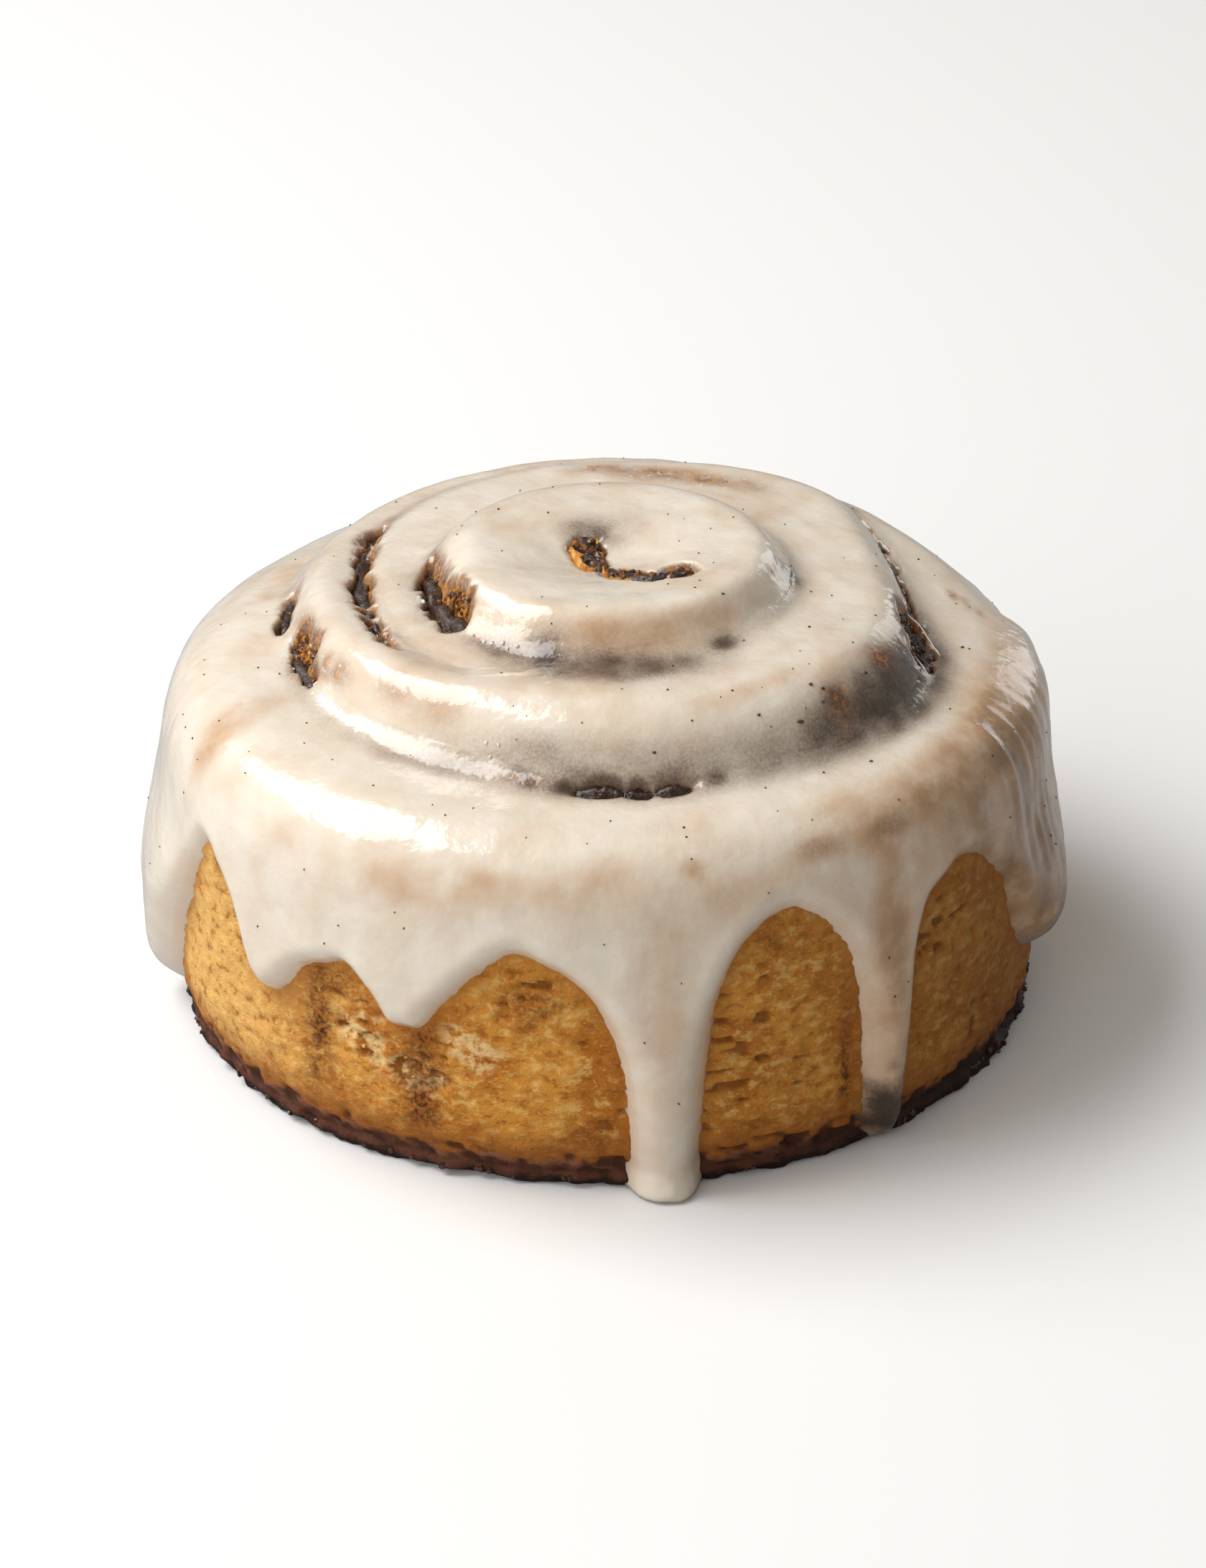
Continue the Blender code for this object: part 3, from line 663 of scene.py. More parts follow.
def baked_crumb():
    """Golden crumb, caramelised at the foot, with paste baked into it along the seam."""
    f = Finish("baked_crumb")
    flat = f.stretched((1.0, 1.0, 1.4))
    broad = f.noise(6.0, 5.0)
    middle = f.noise(1.8, 5.0, 0.62, flat)
    fine = f.noise(0.5, 3.0, 0.6, flat)
    # Pores and other sunk places are darkened as painted shade
    shaded_pores = f.times(f.step(f.attribute("pore"), 0.40, 0.85), 0.85)
    stained = f.attribute("stained")
    soaked = f.times(f.attribute("soaked"), f.step(middle, 0.2, 0.6))
    level = f.math("ADD", f.level(), f.times(f.noise(3.0, 4.0, 0.65), 3.4))
    shaded_foot = f.times(f.attribute("painted_shade_right"), f.step(level, 6.0, 4.4))
    crusty = f.step(f.attribute("crusty"), 0.0, 0.5)
    glazed = f.blend(f.step(f.noise(0.9, 4.0, 0.65), 0.40, 0.60), (0.10, 0.028, 0.005), (0.58, 0.235, 0.030))
    colour = f.layered(
        # golden crumb with light and dark mottles, and painted light that makes it paler on the left
        f.blend(f.step(broad, 0.38, 0.62), (0.55, 0.185, 0.015), (0.74, 0.315, 0.042)),
        (f.times(f.attribute("pale"), 0.75), (0.86, 0.52, 0.16)),
        (f.times(f.step(middle, 0.52, 0.63), 0.70), (0.90, 0.55, 0.16)),
        (f.times(f.step(middle, 0.47, 0.36), 0.75), (0.40, 0.125, 0.008)),
        (f.times(f.step(fine, 0.56, 0.70), 0.45), (0.95, 0.68, 0.28)),
        # painted shade in the pores and on the right side, torn places, stains and crumb soaked by the icing
        (shaded_pores, (0.24, 0.070, 0.006)),
        (f.times(f.attribute("painted_shade_right"), 0.62), (0.25, 0.095, 0.010)),
        (f.times(f.attribute("torn"), f.step(middle, 0.42, 0.60)), (0.93, 0.64, 0.29)),
        (f.times(stained, f.step(f.noise(1.6, 4.0, 0.65), 0.22, 0.50)), (0.29, 0.082, 0.006)),
        (f.times(stained, f.step(f.noise(0.6, 3.0, 0.65), 0.45, 0.57)), (0.055, 0.015, 0.004)),
        (f.times(soaked, 0.6), (0.42, 0.135, 0.012)),
        # the foot: caramel, then brown, then burnt black at the rim, with painted shade in its pores and on
        # the right
        (f.step(level, 11.0, 4.6), (0.36, 0.115, 0.014)),
        (f.step(level, 5.4, 4.6), (0.27, 0.105, 0.055)),
        (f.step(level, 4.8, 3.8), (0.110, 0.034, 0.016)),
        (f.step(level, 3.4, 2.5), (0.022, 0.009, 0.006)),
        (f.times(shaded_pores, f.step(level, 9.0, 5.0)), (0.050, 0.016, 0.007)),
        (f.times(shaded_foot, 0.85), (0.016, 0.007, 0.004)),
        # glazed crust and black paste along the seam
        (crusty, glazed),
        (f.step(f.attribute("pasty"), 0.30, 0.75), (0.022, 0.008, 0.004)))
    normal = f.bump(fine, 0.22, 0.9, f.bump(middle, 0.35, 0.8))
    roughness = f.blend(crusty, (0.62, 0.62, 0.62), (0.18, 0.18, 0.18))
    return f.finish(colour, roughness, normal, Subsurface_Weight=0.12, Subsurface_Scale=0.0012,
                    Subsurface_Radius=(1.0, 0.5, 0.2), Specular_IOR_Level=0.35)


dough_mesh.materials.append(baked_crumb())
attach(baked_coil, "root")
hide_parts("dough")

# Burnt sugar.
# Syrup of butter and sugar ran out under the roll in the pan and set to a dark brittle rim. When the roll was
# lifted out the rim broke, and its crumbs stick all round the foot.

# Heights that the crumbs stick between
RIM_CRUMBS_FROM = 0.7
RIM_CRUMBS_TO = 1.7


def strewn_nodes():
    """Nodes that strew small uneven grains over the faces they are given."""
    tree = bpy.data.node_groups.new("strewn_grains", "GeometryNodeTree")
    tree.interface.new_socket("Faces", in_out="INPUT", socket_type="NodeSocketGeometry")
    for name, kind in (("Grains per square metre", "NodeSocketFloat"), ("Apart", "NodeSocketFloat"),
                       ("Least size", "NodeSocketVector"), ("Most size", "NodeSocketVector"),
                       ("Roundness", "NodeSocketInt"), ("Seed", "NodeSocketInt"),
                       ("Finish", "NodeSocketMaterial")):
        tree.interface.new_socket(name, in_out="INPUT", socket_type=kind)
    tree.interface.new_socket("Grains", in_out="OUTPUT", socket_type="NodeSocketGeometry")
    given = tree.nodes.new("NodeGroupInput").outputs
    spread = tree.nodes.new("GeometryNodeDistributePointsOnFaces")
    spread.distribute_method = "POISSON"
    grain = tree.nodes.new("GeometryNodeMeshIcoSphere")
    size = tree.nodes.new("FunctionNodeRandomValue")
    size.data_type = "FLOAT_VECTOR"
    turn = tree.nodes.new("FunctionNodeRandomValue")
    turn.data_type = "FLOAT_VECTOR"
    turn.inputs["Max"].default_value = (2 * np.pi, 2 * np.pi, 2 * np.pi)
    to_rotation = tree.nodes.new("FunctionNodeEulerToRotation")
    lay = tree.nodes.new("GeometryNodeInstanceOnPoints")
    join = tree.nodes.new("GeometryNodeRealizeInstances")
    dress = tree.nodes.new("GeometryNodeSetMaterial")
    grain.inputs["Radius"].default_value = 1.0
    result = tree.nodes.new("NodeGroupOutput").inputs
    for start, end in ((given["Faces"], spread.inputs["Mesh"]),
                       (given["Grains per square metre"], spread.inputs["Density Max"]),
                       (given["Apart"], spread.inputs["Distance Min"]),
                       (given["Seed"], spread.inputs["Seed"]),
                       (given["Seed"], size.inputs["Seed"]),
                       (given["Seed"], turn.inputs["Seed"]),
                       (given["Roundness"], grain.inputs["Subdivisions"]),
                       (given["Least size"], size.inputs["Min"]),
                       (given["Most size"], size.inputs["Max"]),
                       (turn.outputs[0], to_rotation.inputs[0]),
                       (spread.outputs["Points"], lay.inputs["Points"]),
                       (grain.outputs["Mesh"], lay.inputs["Instance"]),
                       (size.outputs[0], lay.inputs["Scale"]),
                       (to_rotation.outputs[0], lay.inputs["Rotation"]),
                       (lay.outputs[0], join.inputs[0]),
                       (join.outputs[0], dress.inputs["Geometry"]),
                       (given["Finish"], dress.inputs["Material"]),
                       (dress.outputs[0], result["Grains"])):
        tree.links.new(start, end)
    return tree


strewn_grains = strewn_nodes()


def faces_where(name, points, chosen):
    """Mesh of the ring grid's faces whose corners are chosen, to strew grains on."""
    quads = ring_faces(*points.shape[:2])[2]
    near = chosen[:-1] & chosen[1:] & np.roll(chosen, -1, axis=1)[:-1]
    mesh = bpy.data.meshes.new(name)
    mesh.from_pydata((points.reshape(-1, 3) * MM).tolist(), [], quads[near].tolist())
    return mesh


def strew(name, faces, finish, per_square_mm, apart, least, most, seed, roundness=1):
    """Grains on some faces, as a plain mesh; sizes are half lengths in millimetres."""
    piece = show(name, faces)
    nodes = piece.modifiers.new("strewn", "NODES")
    nodes.node_group = strewn_grains
    values = {"Grains per square metre": per_square_mm * 1e6, "Apart": apart * MM,
              "Least size": [v * MM for v in least], "Most size": [v * MM for v in most],
              "Roundness": roundness, "Seed": seed, "Finish": finish}
    for socket in strewn_grains.interface.items_tree:
        if socket.in_out == "INPUT" and socket.name in values:
            nodes[socket.identifier] = values[socket.name]
    graph = bpy.context.evaluated_depsgraph_get()
    mesh = bpy.data.meshes.new_from_object(piece.evaluated_get(graph))
    piece.modifiers.clear()
    piece.data = mesh
    return piece


def set_sugar(name, dark, light, glow, grain_size=0.7):
    """Sugar or paste that has set dark, wet and grainy."""
    f = Finish(name)
    grain = f.noise(grain_size, 4.0, 0.7)
    colour = f.blend(f.step(grain, 0.40, 0.66), dark, light)
    colour = f.blend(f.step(f.noise(grain_size * 0.6, 2.0), 0.64, 0.74), colour, glow)
    normal = f.bump(grain, 0.3, 0.8)
    roughness = f.blend(f.noise(1.1), (0.10, 0.10, 0.10), (0.45, 0.45, 0.45))
    return f.finish(colour, roughness, normal, Specular_IOR_Level=0.6, Coat_Weight=0.5, Coat_Roughness=0.06)


burnt = set_sugar("burnt_sugar", (0.016, 0.007, 0.005), (0.110, 0.035, 0.015), (0.34, 0.12, 0.04), 1.2)
in_rim = (height > RIM_CRUMBS_FROM) & (height < RIM_CRUMBS_TO) & (station > 2)
in_rim &= rough(place, 5.0, 25) > -0.35
rim_faces = faces_where("rim_faces", dough_points, in_rim)
burnt_sugar = strew("burnt_sugar", rim_faces, burnt, 0.85, 0.6, (0.22, 0.22, 0.18), (0.62, 0.55, 0.45), 3)
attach(burnt_sugar, "root")
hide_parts("dough")

# Torn crumb.
# Rolls bake against each other in the pan. Where this one was pulled from its neighbour the soft side is
# torn, and pale flakes of crumb stand out from it.

pale_crumb = Finish("pale_crumb")
flake_colour = pale_crumb.blend(pale_crumb.step(pale_crumb.noise(1.5, 3.0), 0.35, 0.65),
                                (0.80, 0.42, 0.11), (0.90, 0.60, 0.26))
flake_normal = pale_crumb.bump(pale_crumb.noise(0.4, 3.0), 0.2, 0.8)
flake_finish = pale_crumb.finish(flake_colour, 0.8, flake_normal, Specular_IOR_Level=0.25)
torn_faces = faces_where("torn_faces", dough_points, torn_field(angle, height) > 0.55)
torn_flakes = strew("torn_flakes", torn_faces, flake_finish, 0.16, 1.1,
                    (0.25, 0.2, 0.15), (0.7, 0.45, 0.3), 8)
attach(torn_flakes, "root")
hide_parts("dough")

# Cinnamon paste.
# A ribbon of butter, brown sugar and ground cinnamon spread on the sheet before rolling. It melts in the oven
# and sets dark and glassy, and where the icing leaves a hole it shows as wet black grains.

# Thickness of the ribbon, and its height above the floor where it starts
PASTE_THICKNESS = 1.8
PASTE_FOOT = 0.6

# The sheet's inner end turns to the middle and stops there: (x, y)
INNER_END = [(-2.4, 6.0), (-1.8, 2.0), (-1.0, -0.8), (0.8, -3.4), (3.0, -5.6), (5.6, -6.6), (8.4, -5.4),
             (9.6, -4.4)]

# Turn where the ribbon starts, its step along the seam, and its points across
PASTE_START = 62.0
PASTE_STEP = 0.45
PASTE_ACROSS = 5

# How proud the paste stands of the dough's skin, how much lower it lies in the middle, the crown across it,
# and the height of its grains with the depth of the pits between them
PASTE_PROUD = 0.25
PASTE_SUNK = 0.5
PASTE_CROWN = 0.25
PASTE_GRAINS = [(0.9, 0.30, 31), (0.45, 0.22, 32)]
PASTE_PITS = 0.45


def paste_path():
    """Points in plan along the seam, from near the tail to the inner end."""
    turn = np.linspace(PASTE_START, LAST_TURN, 3000)
    line = place_xyz(turn, curve(SEAM, turn), 0 * turn)[:, :2]
    end = np.array([line[-1]] + [np.array(p) for p in INNER_END])
    knots = np.arange(len(end))
    fine = np.linspace(0, len(end) - 1, 200)[1:]
    hook = np.stack([curve(list(zip(knots, end[:, k])), fine) for k in (0, 1)], axis=1)
    line = np.concatenate([line, hook])
    run = np.concatenate([[0], np.cumsum(np.hypot(*np.diff(line, axis=0).T))])
    at = np.linspace(0, run[-1], int(run[-1] / PASTE_STEP) + 1)
    return np.stack([np.interp(at, run, line[:, k]) for k in (0, 1)], axis=1)


def outward_mesh(name, form):
    """Mesh from a form, with its faces turned outward."""
    bmesh.ops.recalc_face_normals(form, faces=form.faces)
    mesh = bpy.data.meshes.new(name)
    form.to_mesh(mesh)
    form.free()
    return mesh


def paste_ribbon():
    """The ribbon as a closed strip with a grainy top."""
    path = paste_path()
    along = np.gradient(path, axis=0)
    along /= np.hypot(along[:, 0], along[:, 1])[:, None]
    side = np.stack([-along[:, 1], along[:, 0]], axis=1)
    across = np.linspace(-0.5, 0.5, PASTE_ACROSS) * PASTE_THICKNESS
    plan = path[:, None, :] + side[:, None, :] * across[None, :, None]
    angle = np.degrees(np.arctan2(plan[..., 1], plan[..., 0])) % 360
    radius = np.hypot(plan[..., 0], plan[..., 1])
    low = np.minimum(coil_top(angle, radius), DOME_LEVEL)
    low = low.min(axis=1, keepdims=True) * np.ones_like(low)
    place = np.concatenate([plan, low[..., None]], axis=-1)
    grains = sum(height * lumps(place, (size, size, 9), seed) for size, height, seed in PASTE_GRAINS)
    grains -= PASTE_PITS * smooth(lumps(place, (2.1, 2.1, 9), 33))
    crown = PASTE_CROWN * (1 - (2 * across / PASTE_THICKNESS) ** 2)[None, :]
    bare = smooth((hole_field(angle, radius) + 0.6) / 0.5)
    filled = hole_fill(angle, radius).max(axis=1, keepdims=True) * bare
    proud = PASTE_PROUD - PASTE_SUNK * hump(radius / MIDDLE_REACH)
    top = np.concatenate([plan, (low + proud + crown + grains + filled)[..., None]], axis=-1)
    count, width, _ = top.shape
    feet = top[:, [0, -1]].copy()
    feet[..., 2] = PASTE_FOOT
    loop = np.concatenate([feet[:, :1], top, feet[:, 1:]], axis=1)
    grid, _, faces = ring_faces(count, width + 2)
    form = bmesh.new()
    corners = [form.verts.new(corner) for corner in (loop.reshape(-1, 3) * MM).tolist()]
    for face in faces.reshape(-1, 4).tolist() + [grid[0].tolist(), grid[-1][::-1].tolist()]:
        form.faces.new([corners[k] for k in face])
    mesh = outward_mesh("paste_ribbon", form)
    mesh.shade_smooth()
    return mesh


paste_finish = set_sugar("cinnamon_paste", (0.018, 0.006, 0.003), (0.060, 0.018, 0.005), (0.40, 0.16, 0.03))
paste = show("paste_ribbon", paste_ribbon())
paste.data.materials.append(paste_finish)
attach(paste, "root")
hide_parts("cinnamon_filling")

# Cinnamon grains.
# Loose grains of brown sugar and ground cinnamon, wet with syrup. They swelled out of the ribbon in the oven
# and lie in every hole that the icing leaves, coarser in the middle and blacker in front.

grain_finish = set_sugar("cinnamon_grains", (0.030, 0.009, 0.003), (0.34, 0.115, 0.014),
                         (0.62, 0.27, 0.05), 1.4)
outer_front = (radius > OUTER_SEAM) & (angle > 240)
small, large = ((0.20, 0.20, 0.16), (0.52, 0.46, 0.40)), ((0.40, 0.40, 0.35), (0.85, 0.75, 0.65))
in_middle = radius < MIDDLE_REACH
for name, finish, chosen, (least, most), gap in (
        ("cinnamon_grains", grain_finish, ~outer_front & ~in_middle, small, 0.50),
        ("dark_grains", paste_finish, outer_front, small, 0.50),
        ("middle_grains", grain_finish, in_middle, large, 0.85)):
    chosen_faces = faces_where(name, dough_points, (hole > 0.05) & chosen)
    grains = strew(name, chosen_faces, finish, 2.4, gap, least, most, 5)
    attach(grains, "root")
    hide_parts("cinnamon_filling")

# Sugar icing.
# Icing sugar and milk, poured warm over the middle. It fills the grooves, lies thin over the crests, runs
# down the side in thick drips with rounded edges and sets glossy. Dark paste and tan crust show through where
# it is thin.

# Thickness on top and high on the side, where the side's beads begin and over what height they thicken, the
# lowest place of the icing, and the width of the rounded rim of a hole with how steeply it dips inside
FILM = 1.35
SIDE_FILM = 1.0
BEAD_TOP = 32.5
BEAD_RUN = 16.0
ICING_FOOT = 0.35
HOLE_EDGE = 1.0
HOLE_DIP = 4.0

# A bead's rounded edge: width, more width for each millimetre of thickness, and squareness. The lip along it:
# height, distance in from the edge, and reach. Outside the edge the skin dips below the dough: slope and
# depth.
BEAD_WIDTH = 1.3
BEAD_SHARE = 1.1
BEAD_SQUARE = 2.3
LIP_HEIGHT = 0.15
LIP_PLACE = 1.7
LIP_REACH = 1.1
DIP_SLOPE = 2.3
DIP_DEPTH = 2.4

# Swells and ripples of the film on top, swells on the side, streaks that ran down the side (size, depth,
# seed), and where the side is wettest and streaked most
SWELL_TOP = 0.16
RIPPLE_TOP = 0.05
SWELL_SIDE = 0.12
STREAKS = [(2.2, 0.16, 53), (1.1, 0.10, 54)]
STREAKS_LEAST = 0.2
STREAKS_MORE = 1.3
WET_ANGLE = 345
WET_REACH = 20

# Fineness of the icing's mesh, in the same terms as the dough's
ICING_RINGS = 215
ICING_FRONT = 300
ICING_BACK = 160
ICING_CLOSENESS = (1.2, 1.0, 0.9)

# Lower edge of the icing, drip by drip, from the left side round the front and the back: (angle, height)
EDGE = [(180, 19), (182.5, 6.5), (186.5, 1.4), (190.5, 3.6), (194, 8.2), (198, 14), (202, 19.5),
        (206, 25.7), (210.5, 30.4), (214, 28.4), (218, 23.8), (221, 18.6), (224, 17), (227, 18.8),
        (230, 22.2), (233, 23.4), (236.5, 24.2), (240, 21.8), (243.5, 18.7), (246.5, 18.6), (250, 21.9),
        (254, 26.4), (259.5, 29.9), (264, 28.6), (268, 25.6), (271, 20.5), (272.9, 14), (273.6, 5),
        (273.9, -3), (281.2, -3), (281.6, 5), (282.2, 14), (283.7, 24), (288, 31.2), (293.3, 33.7),
        (298, 31.5), (301.2, 28), (303, 22), (303.9, 14), (304.6, 4), (307, 0.8), (310, 4), (310.9, 14),
        (311.8, 24), (314.5, 29.6), (317.5, 31.2), (321.3, 31.7), (325, 30.6), (329, 27.8), (332, 25),
        (334.5, 20), (336.8, 16), (340, 12.5), (344, 10.6), (348, 10.2), (352, 13), (357, 22), (362, 30),
        (370, 28), (378, 17), (385, 13), (392, 19), (400, 32), (408, 28), (414, 16), (420, 8), (426, 10),
        (433, 23), (440, 32), (446, 25), (451, 15), (457, 13), (464, 21), (472, 29), (480, 27), (488, 33),
        (496, 27), (503, 14), (510, 9), (517, 15), (525, 29), (532, 31), (537, 27), (540, 20)]

# Thickness of the icing's bead on the side of the roll: (angle, thickness)
BEAD = [(0, 3.2), (45, 2.5), (90, 2.8), (135, 2.5), (180, 3.7), (195, 3.5), (210, 2.0), (240, 1.9),
        (277, 2.7), (305, 2.5), (330, 3), (346, 3.9), (360, 3.2)]

# The front drip reaches the floor and spreads there: angle, reach in degrees, height where it starts to
# spread, and how far it spreads out and to the sides. The drip right of it ends in a ragged dark foot.
FOOT_ANGLE = 277.4
FOOT_REACH = 7
FOOT_HEIGHT = 3.4
FOOT_SPREAD = 1.9
FOOT_WIDEN = 0.26
DARK_FOOT_ANGLE = 307
RAGGED_DEPTH = 0.35

# Length along the wall for one degree, step along the icing's edge, and how far the edge wobbles
EDGE_SCALE = np.radians(50.5)
EDGE_STEP = 0.1
EDGE_WOBBLE = 0.35


def edge_distance(angle, height):
    """Distance from the icing's lower edge on the side of the roll, positive inside the icing."""
    spread = smooth((FOOT_HEIGHT - height) / FOOT_HEIGHT) * (np.abs(angle - FOOT_ANGLE) < 9)
    angle = FOOT_ANGLE + (angle - FOOT_ANGLE) / (1 + FOOT_WIDEN * spread)
    turn = np.where(angle < 180, angle + 360, angle)
    along = np.linspace(170, 550, 4000)
    wrapped = np.where(along < 180, along + 360, np.where(along > 540, along - 360, along))
    wobble = lumps(np.stack([along * 0.9, 0 * along, 0 * along], -1), (3.0, 3.0, 3.0), 41)
    line = curve(EDGE, wrapped) + EDGE_WOBBLE * wobble
    run = np.concatenate([[0], np.cumsum(np.hypot(np.diff(along) * EDGE_SCALE, np.diff(line)))])
    at = np.linspace(0, run[-1], int(run[-1] / EDGE_STEP))
    tree = KDTree(len(at))
    for k, (u, z) in enumerate(zip(np.interp(at, run, along) * EDGE_SCALE, np.interp(at, run, line))):
        tree.insert((u, z, 0), k)
    tree.balance()
    places = zip(np.ravel(turn * EDGE_SCALE), np.ravel(height))
    apart = np.array([tree.find((u, z, 0))[2] for u, z in places]).reshape(height.shape)
    return np.where(height > np.interp(turn, along, line), apart, -apart)


def side_film(angle, height):
    """Thickness of the icing on the side, below zero where there is none, and distance in from its edge."""
    inside = edge_distance(angle, height)
    low = smooth((BEAD_TOP - height) / BEAD_RUN)
    thick = SIDE_FILM + (curve(BEAD, angle) - SIDE_FILM) * low
    x = inside / (BEAD_WIDTH + BEAD_SHARE * thick)
    bead = thick * (1 - (1 - np.clip(x, 0, 1)) ** BEAD_SQUARE)
    lip = LIP_HEIGHT * hump((inside - LIP_PLACE) / LIP_REACH)
    outside = np.maximum(DIP_SLOPE * thick * x, -DIP_DEPTH)
    foot = smooth((FOOT_HEIGHT - height) / FOOT_HEIGHT) * smooth((inside + 0.4) / 1.6)
    foot = foot * hump((angle - FOOT_ANGLE) / FOOT_REACH) * FOOT_SPREAD
    return np.where(inside > 0, bead + lip, outside) + foot, inside


# Crumb under the icing's edge is soaked by it
SOAKED_REACH = 1.6
off_icing = np.minimum(edge_distance(np.array(angle), dough_height), 0)
paint(dough_mesh, "soaked", hump(off_icing / SOAKED_REACH) * (station > 1.2))

# Places on the icing's skin, which the pieces after it are laid on too
angle, station = skin_grid(ICING_FRONT, ICING_BACK, ICING_RINGS, ICING_CLOSENESS)
radius, height, facing = roll_outline(angle, station)
lift = pour_lift(angle, radius) * np.cos(facing).clip(0) ** 0.5 * (station < 2)
place = place_xyz(angle, radius, height)
away, turn = seam_place(angle, radius)
hole = hole_field(angle, radius)
from_hole = np.clip(-hole / HOLE_EDGE, 0, 1)
rounded = np.sqrt(1 - (1 - from_hole) ** 2)
top_film = FILM + lift + SWELL_TOP * rough(place, 7.0, 51, 2)
top_film += RIPPLE_TOP * lumps(place, (2.0, 2.0, 2.0), 52)
top_film = top_film * rounded - np.clip(hole, 0, 0.6) * HOLE_DIP
side, inside = side_film(angle, height)
runs = place_xyz(angle, 0 * radius + SIDE_RADIUS, height * 0.12)
streaks = sum(depth * lumps(runs, (size, size, size), seed) for size, depth, seed in STREAKS)
wet_side = STREAKS_LEAST + STREAKS_MORE * hump(around(angle, WET_ANGLE) / WET_REACH)
off_edge = smooth(inside / 2.0)
side += streaks * wet_side * off_edge + SWELL_SIDE * rough(place, 4.0, 55, 2) * off_edge
ragged_end = hump((angle - DARK_FOOT_ANGLE) / 5) * smooth((8 - height) / 4)
ragged_end = ragged_end + hump((angle - FOOT_ANGLE) / FOOT_REACH) * smooth((FOOT_HEIGHT - height) / 1.5)
side += RAGGED_DEPTH * ragged_end * rough(place, 1.6, 56) * smooth(inside / 1.0)
film = top_film + (side - top_film) * smooth(facing / 0.9)
icing_radius = radius + film * np.sin(facing)
icing_height = height + film * np.cos(facing)
icing_height = np.where(station > 2, np.maximum(icing_height, ICING_FOOT), icing_height)
icing_points = place_xyz(angle, icing_radius, icing_height)
icing_mesh = skin_mesh("poured_icing", icing_points, ICING_FOOT)

# Dark smudges where paste shows through, and painted shade in the hollow in the middle and in the groove
# round
# it: (angle, radius, half length, half width, strength)
PASTE_AND_SHADE_MARKS = [(112, 6.8, 3.4, 2.6, 0.75), (100, 4.6, 3.0, 2.4, 0.6), (310, 8.0, 4, 1.6, 0.3),
           (235, 21.4, 7, 2.0, 0.22), (257, 23.6, 8, 2.6, 0.40), (272, 24.4, 10, 3.4, 0.60),
           (290, 24.4, 9, 3.2, 0.52), (251.5, 21.2, 2.4, 1.9, 0.80), (263, 21.8, 8, 3.2, 0.62),
           (275, 22.2, 2.1, 1.6, 0.95), (285, 22.4, 6, 2.2, 0.30), (70, 8.0, 5, 3.4, 0.38),
           (308.2, 22.1, 1.8, 1.5, 0.95), (320, 22.2, 8, 2.0, 0.30), (343, 21.8, 6, 1.8, 0.35),
           (358.5, 21.4, 1.8, 1.7, 0.9), (8, 21.8, 4, 1.6, 0.35), (25, 22.2, 5, 1.3, 0.25),
           (160, 20.6, 4, 0.8, 0.6), (180, 21.4, 6, 1.8, 0.5), (205, 22.0, 4, 1.6, 0.4),
           (228, 21.0, 6, 1.6, 0.35), (243, 21.0, 4, 1.6, 0.4), (143, 31.5, 3, 1.2, 0.5),
           (165, 28.0, 6, 1.6, 0.4), (186, 27.2, 6, 2.6, 0.5), (206, 27.0, 5, 2.2, 0.4),
           (225, 27.6, 6, 1.6, 0.2), (168, 37.4, 5, 1.0, 0.5), (152, 38.6, 6, 0.7, 0.4),
           (200, 37.0, 6, 1.6, 0.35), (214, 37.4, 8, 2.0, 0.35), (231, 37.2, 7, 2.2, 0.40),
           (243, 36.6, 6, 2.2, 0.42), (255, 36.8, 8, 2.6, 0.44), (266, 38.0, 7, 2.2, 0.38),
           (275, 38.6, 7, 2.2, 0.44), (285, 38.8, 7, 2.2, 0.45), (297, 38.2, 8, 2.2, 0.38),
           (262, 35.0, 10, 2.2, 0.29), (285, 36.2, 12, 1.8, 0.22), (308, 38.2, 6, 2.4, 0.40),
           (317, 37.8, 7, 3.0, 0.60), (326, 38.0, 7, 3.4, 0.75), (335, 37.9, 7, 3.6, 0.85),
           (344, 37.6, 6, 3.6, 0.85), (331, 35.2, 1.3, 1.0, 0.6), (316, 36.0, 1.5, 1.2, 0.5),
           (353, 37.4, 5, 3.0, 0.75), (1, 36.6, 5, 2.0, 0.6), (257.5, 37.2, 1.2, 0.7, 0.8),
           (263.5, 37.5, 1.5, 0.8, 0.9), (289, 38.2, 1.5, 0.8, 0.8), (11, 36.2, 5, 1.5, 0.6),
           (23, 37.0, 5, 1.3, 0.6), (34, 38.4, 4, 1.3, 0.6), (43, 40.0, 4, 1.1, 0.6)]

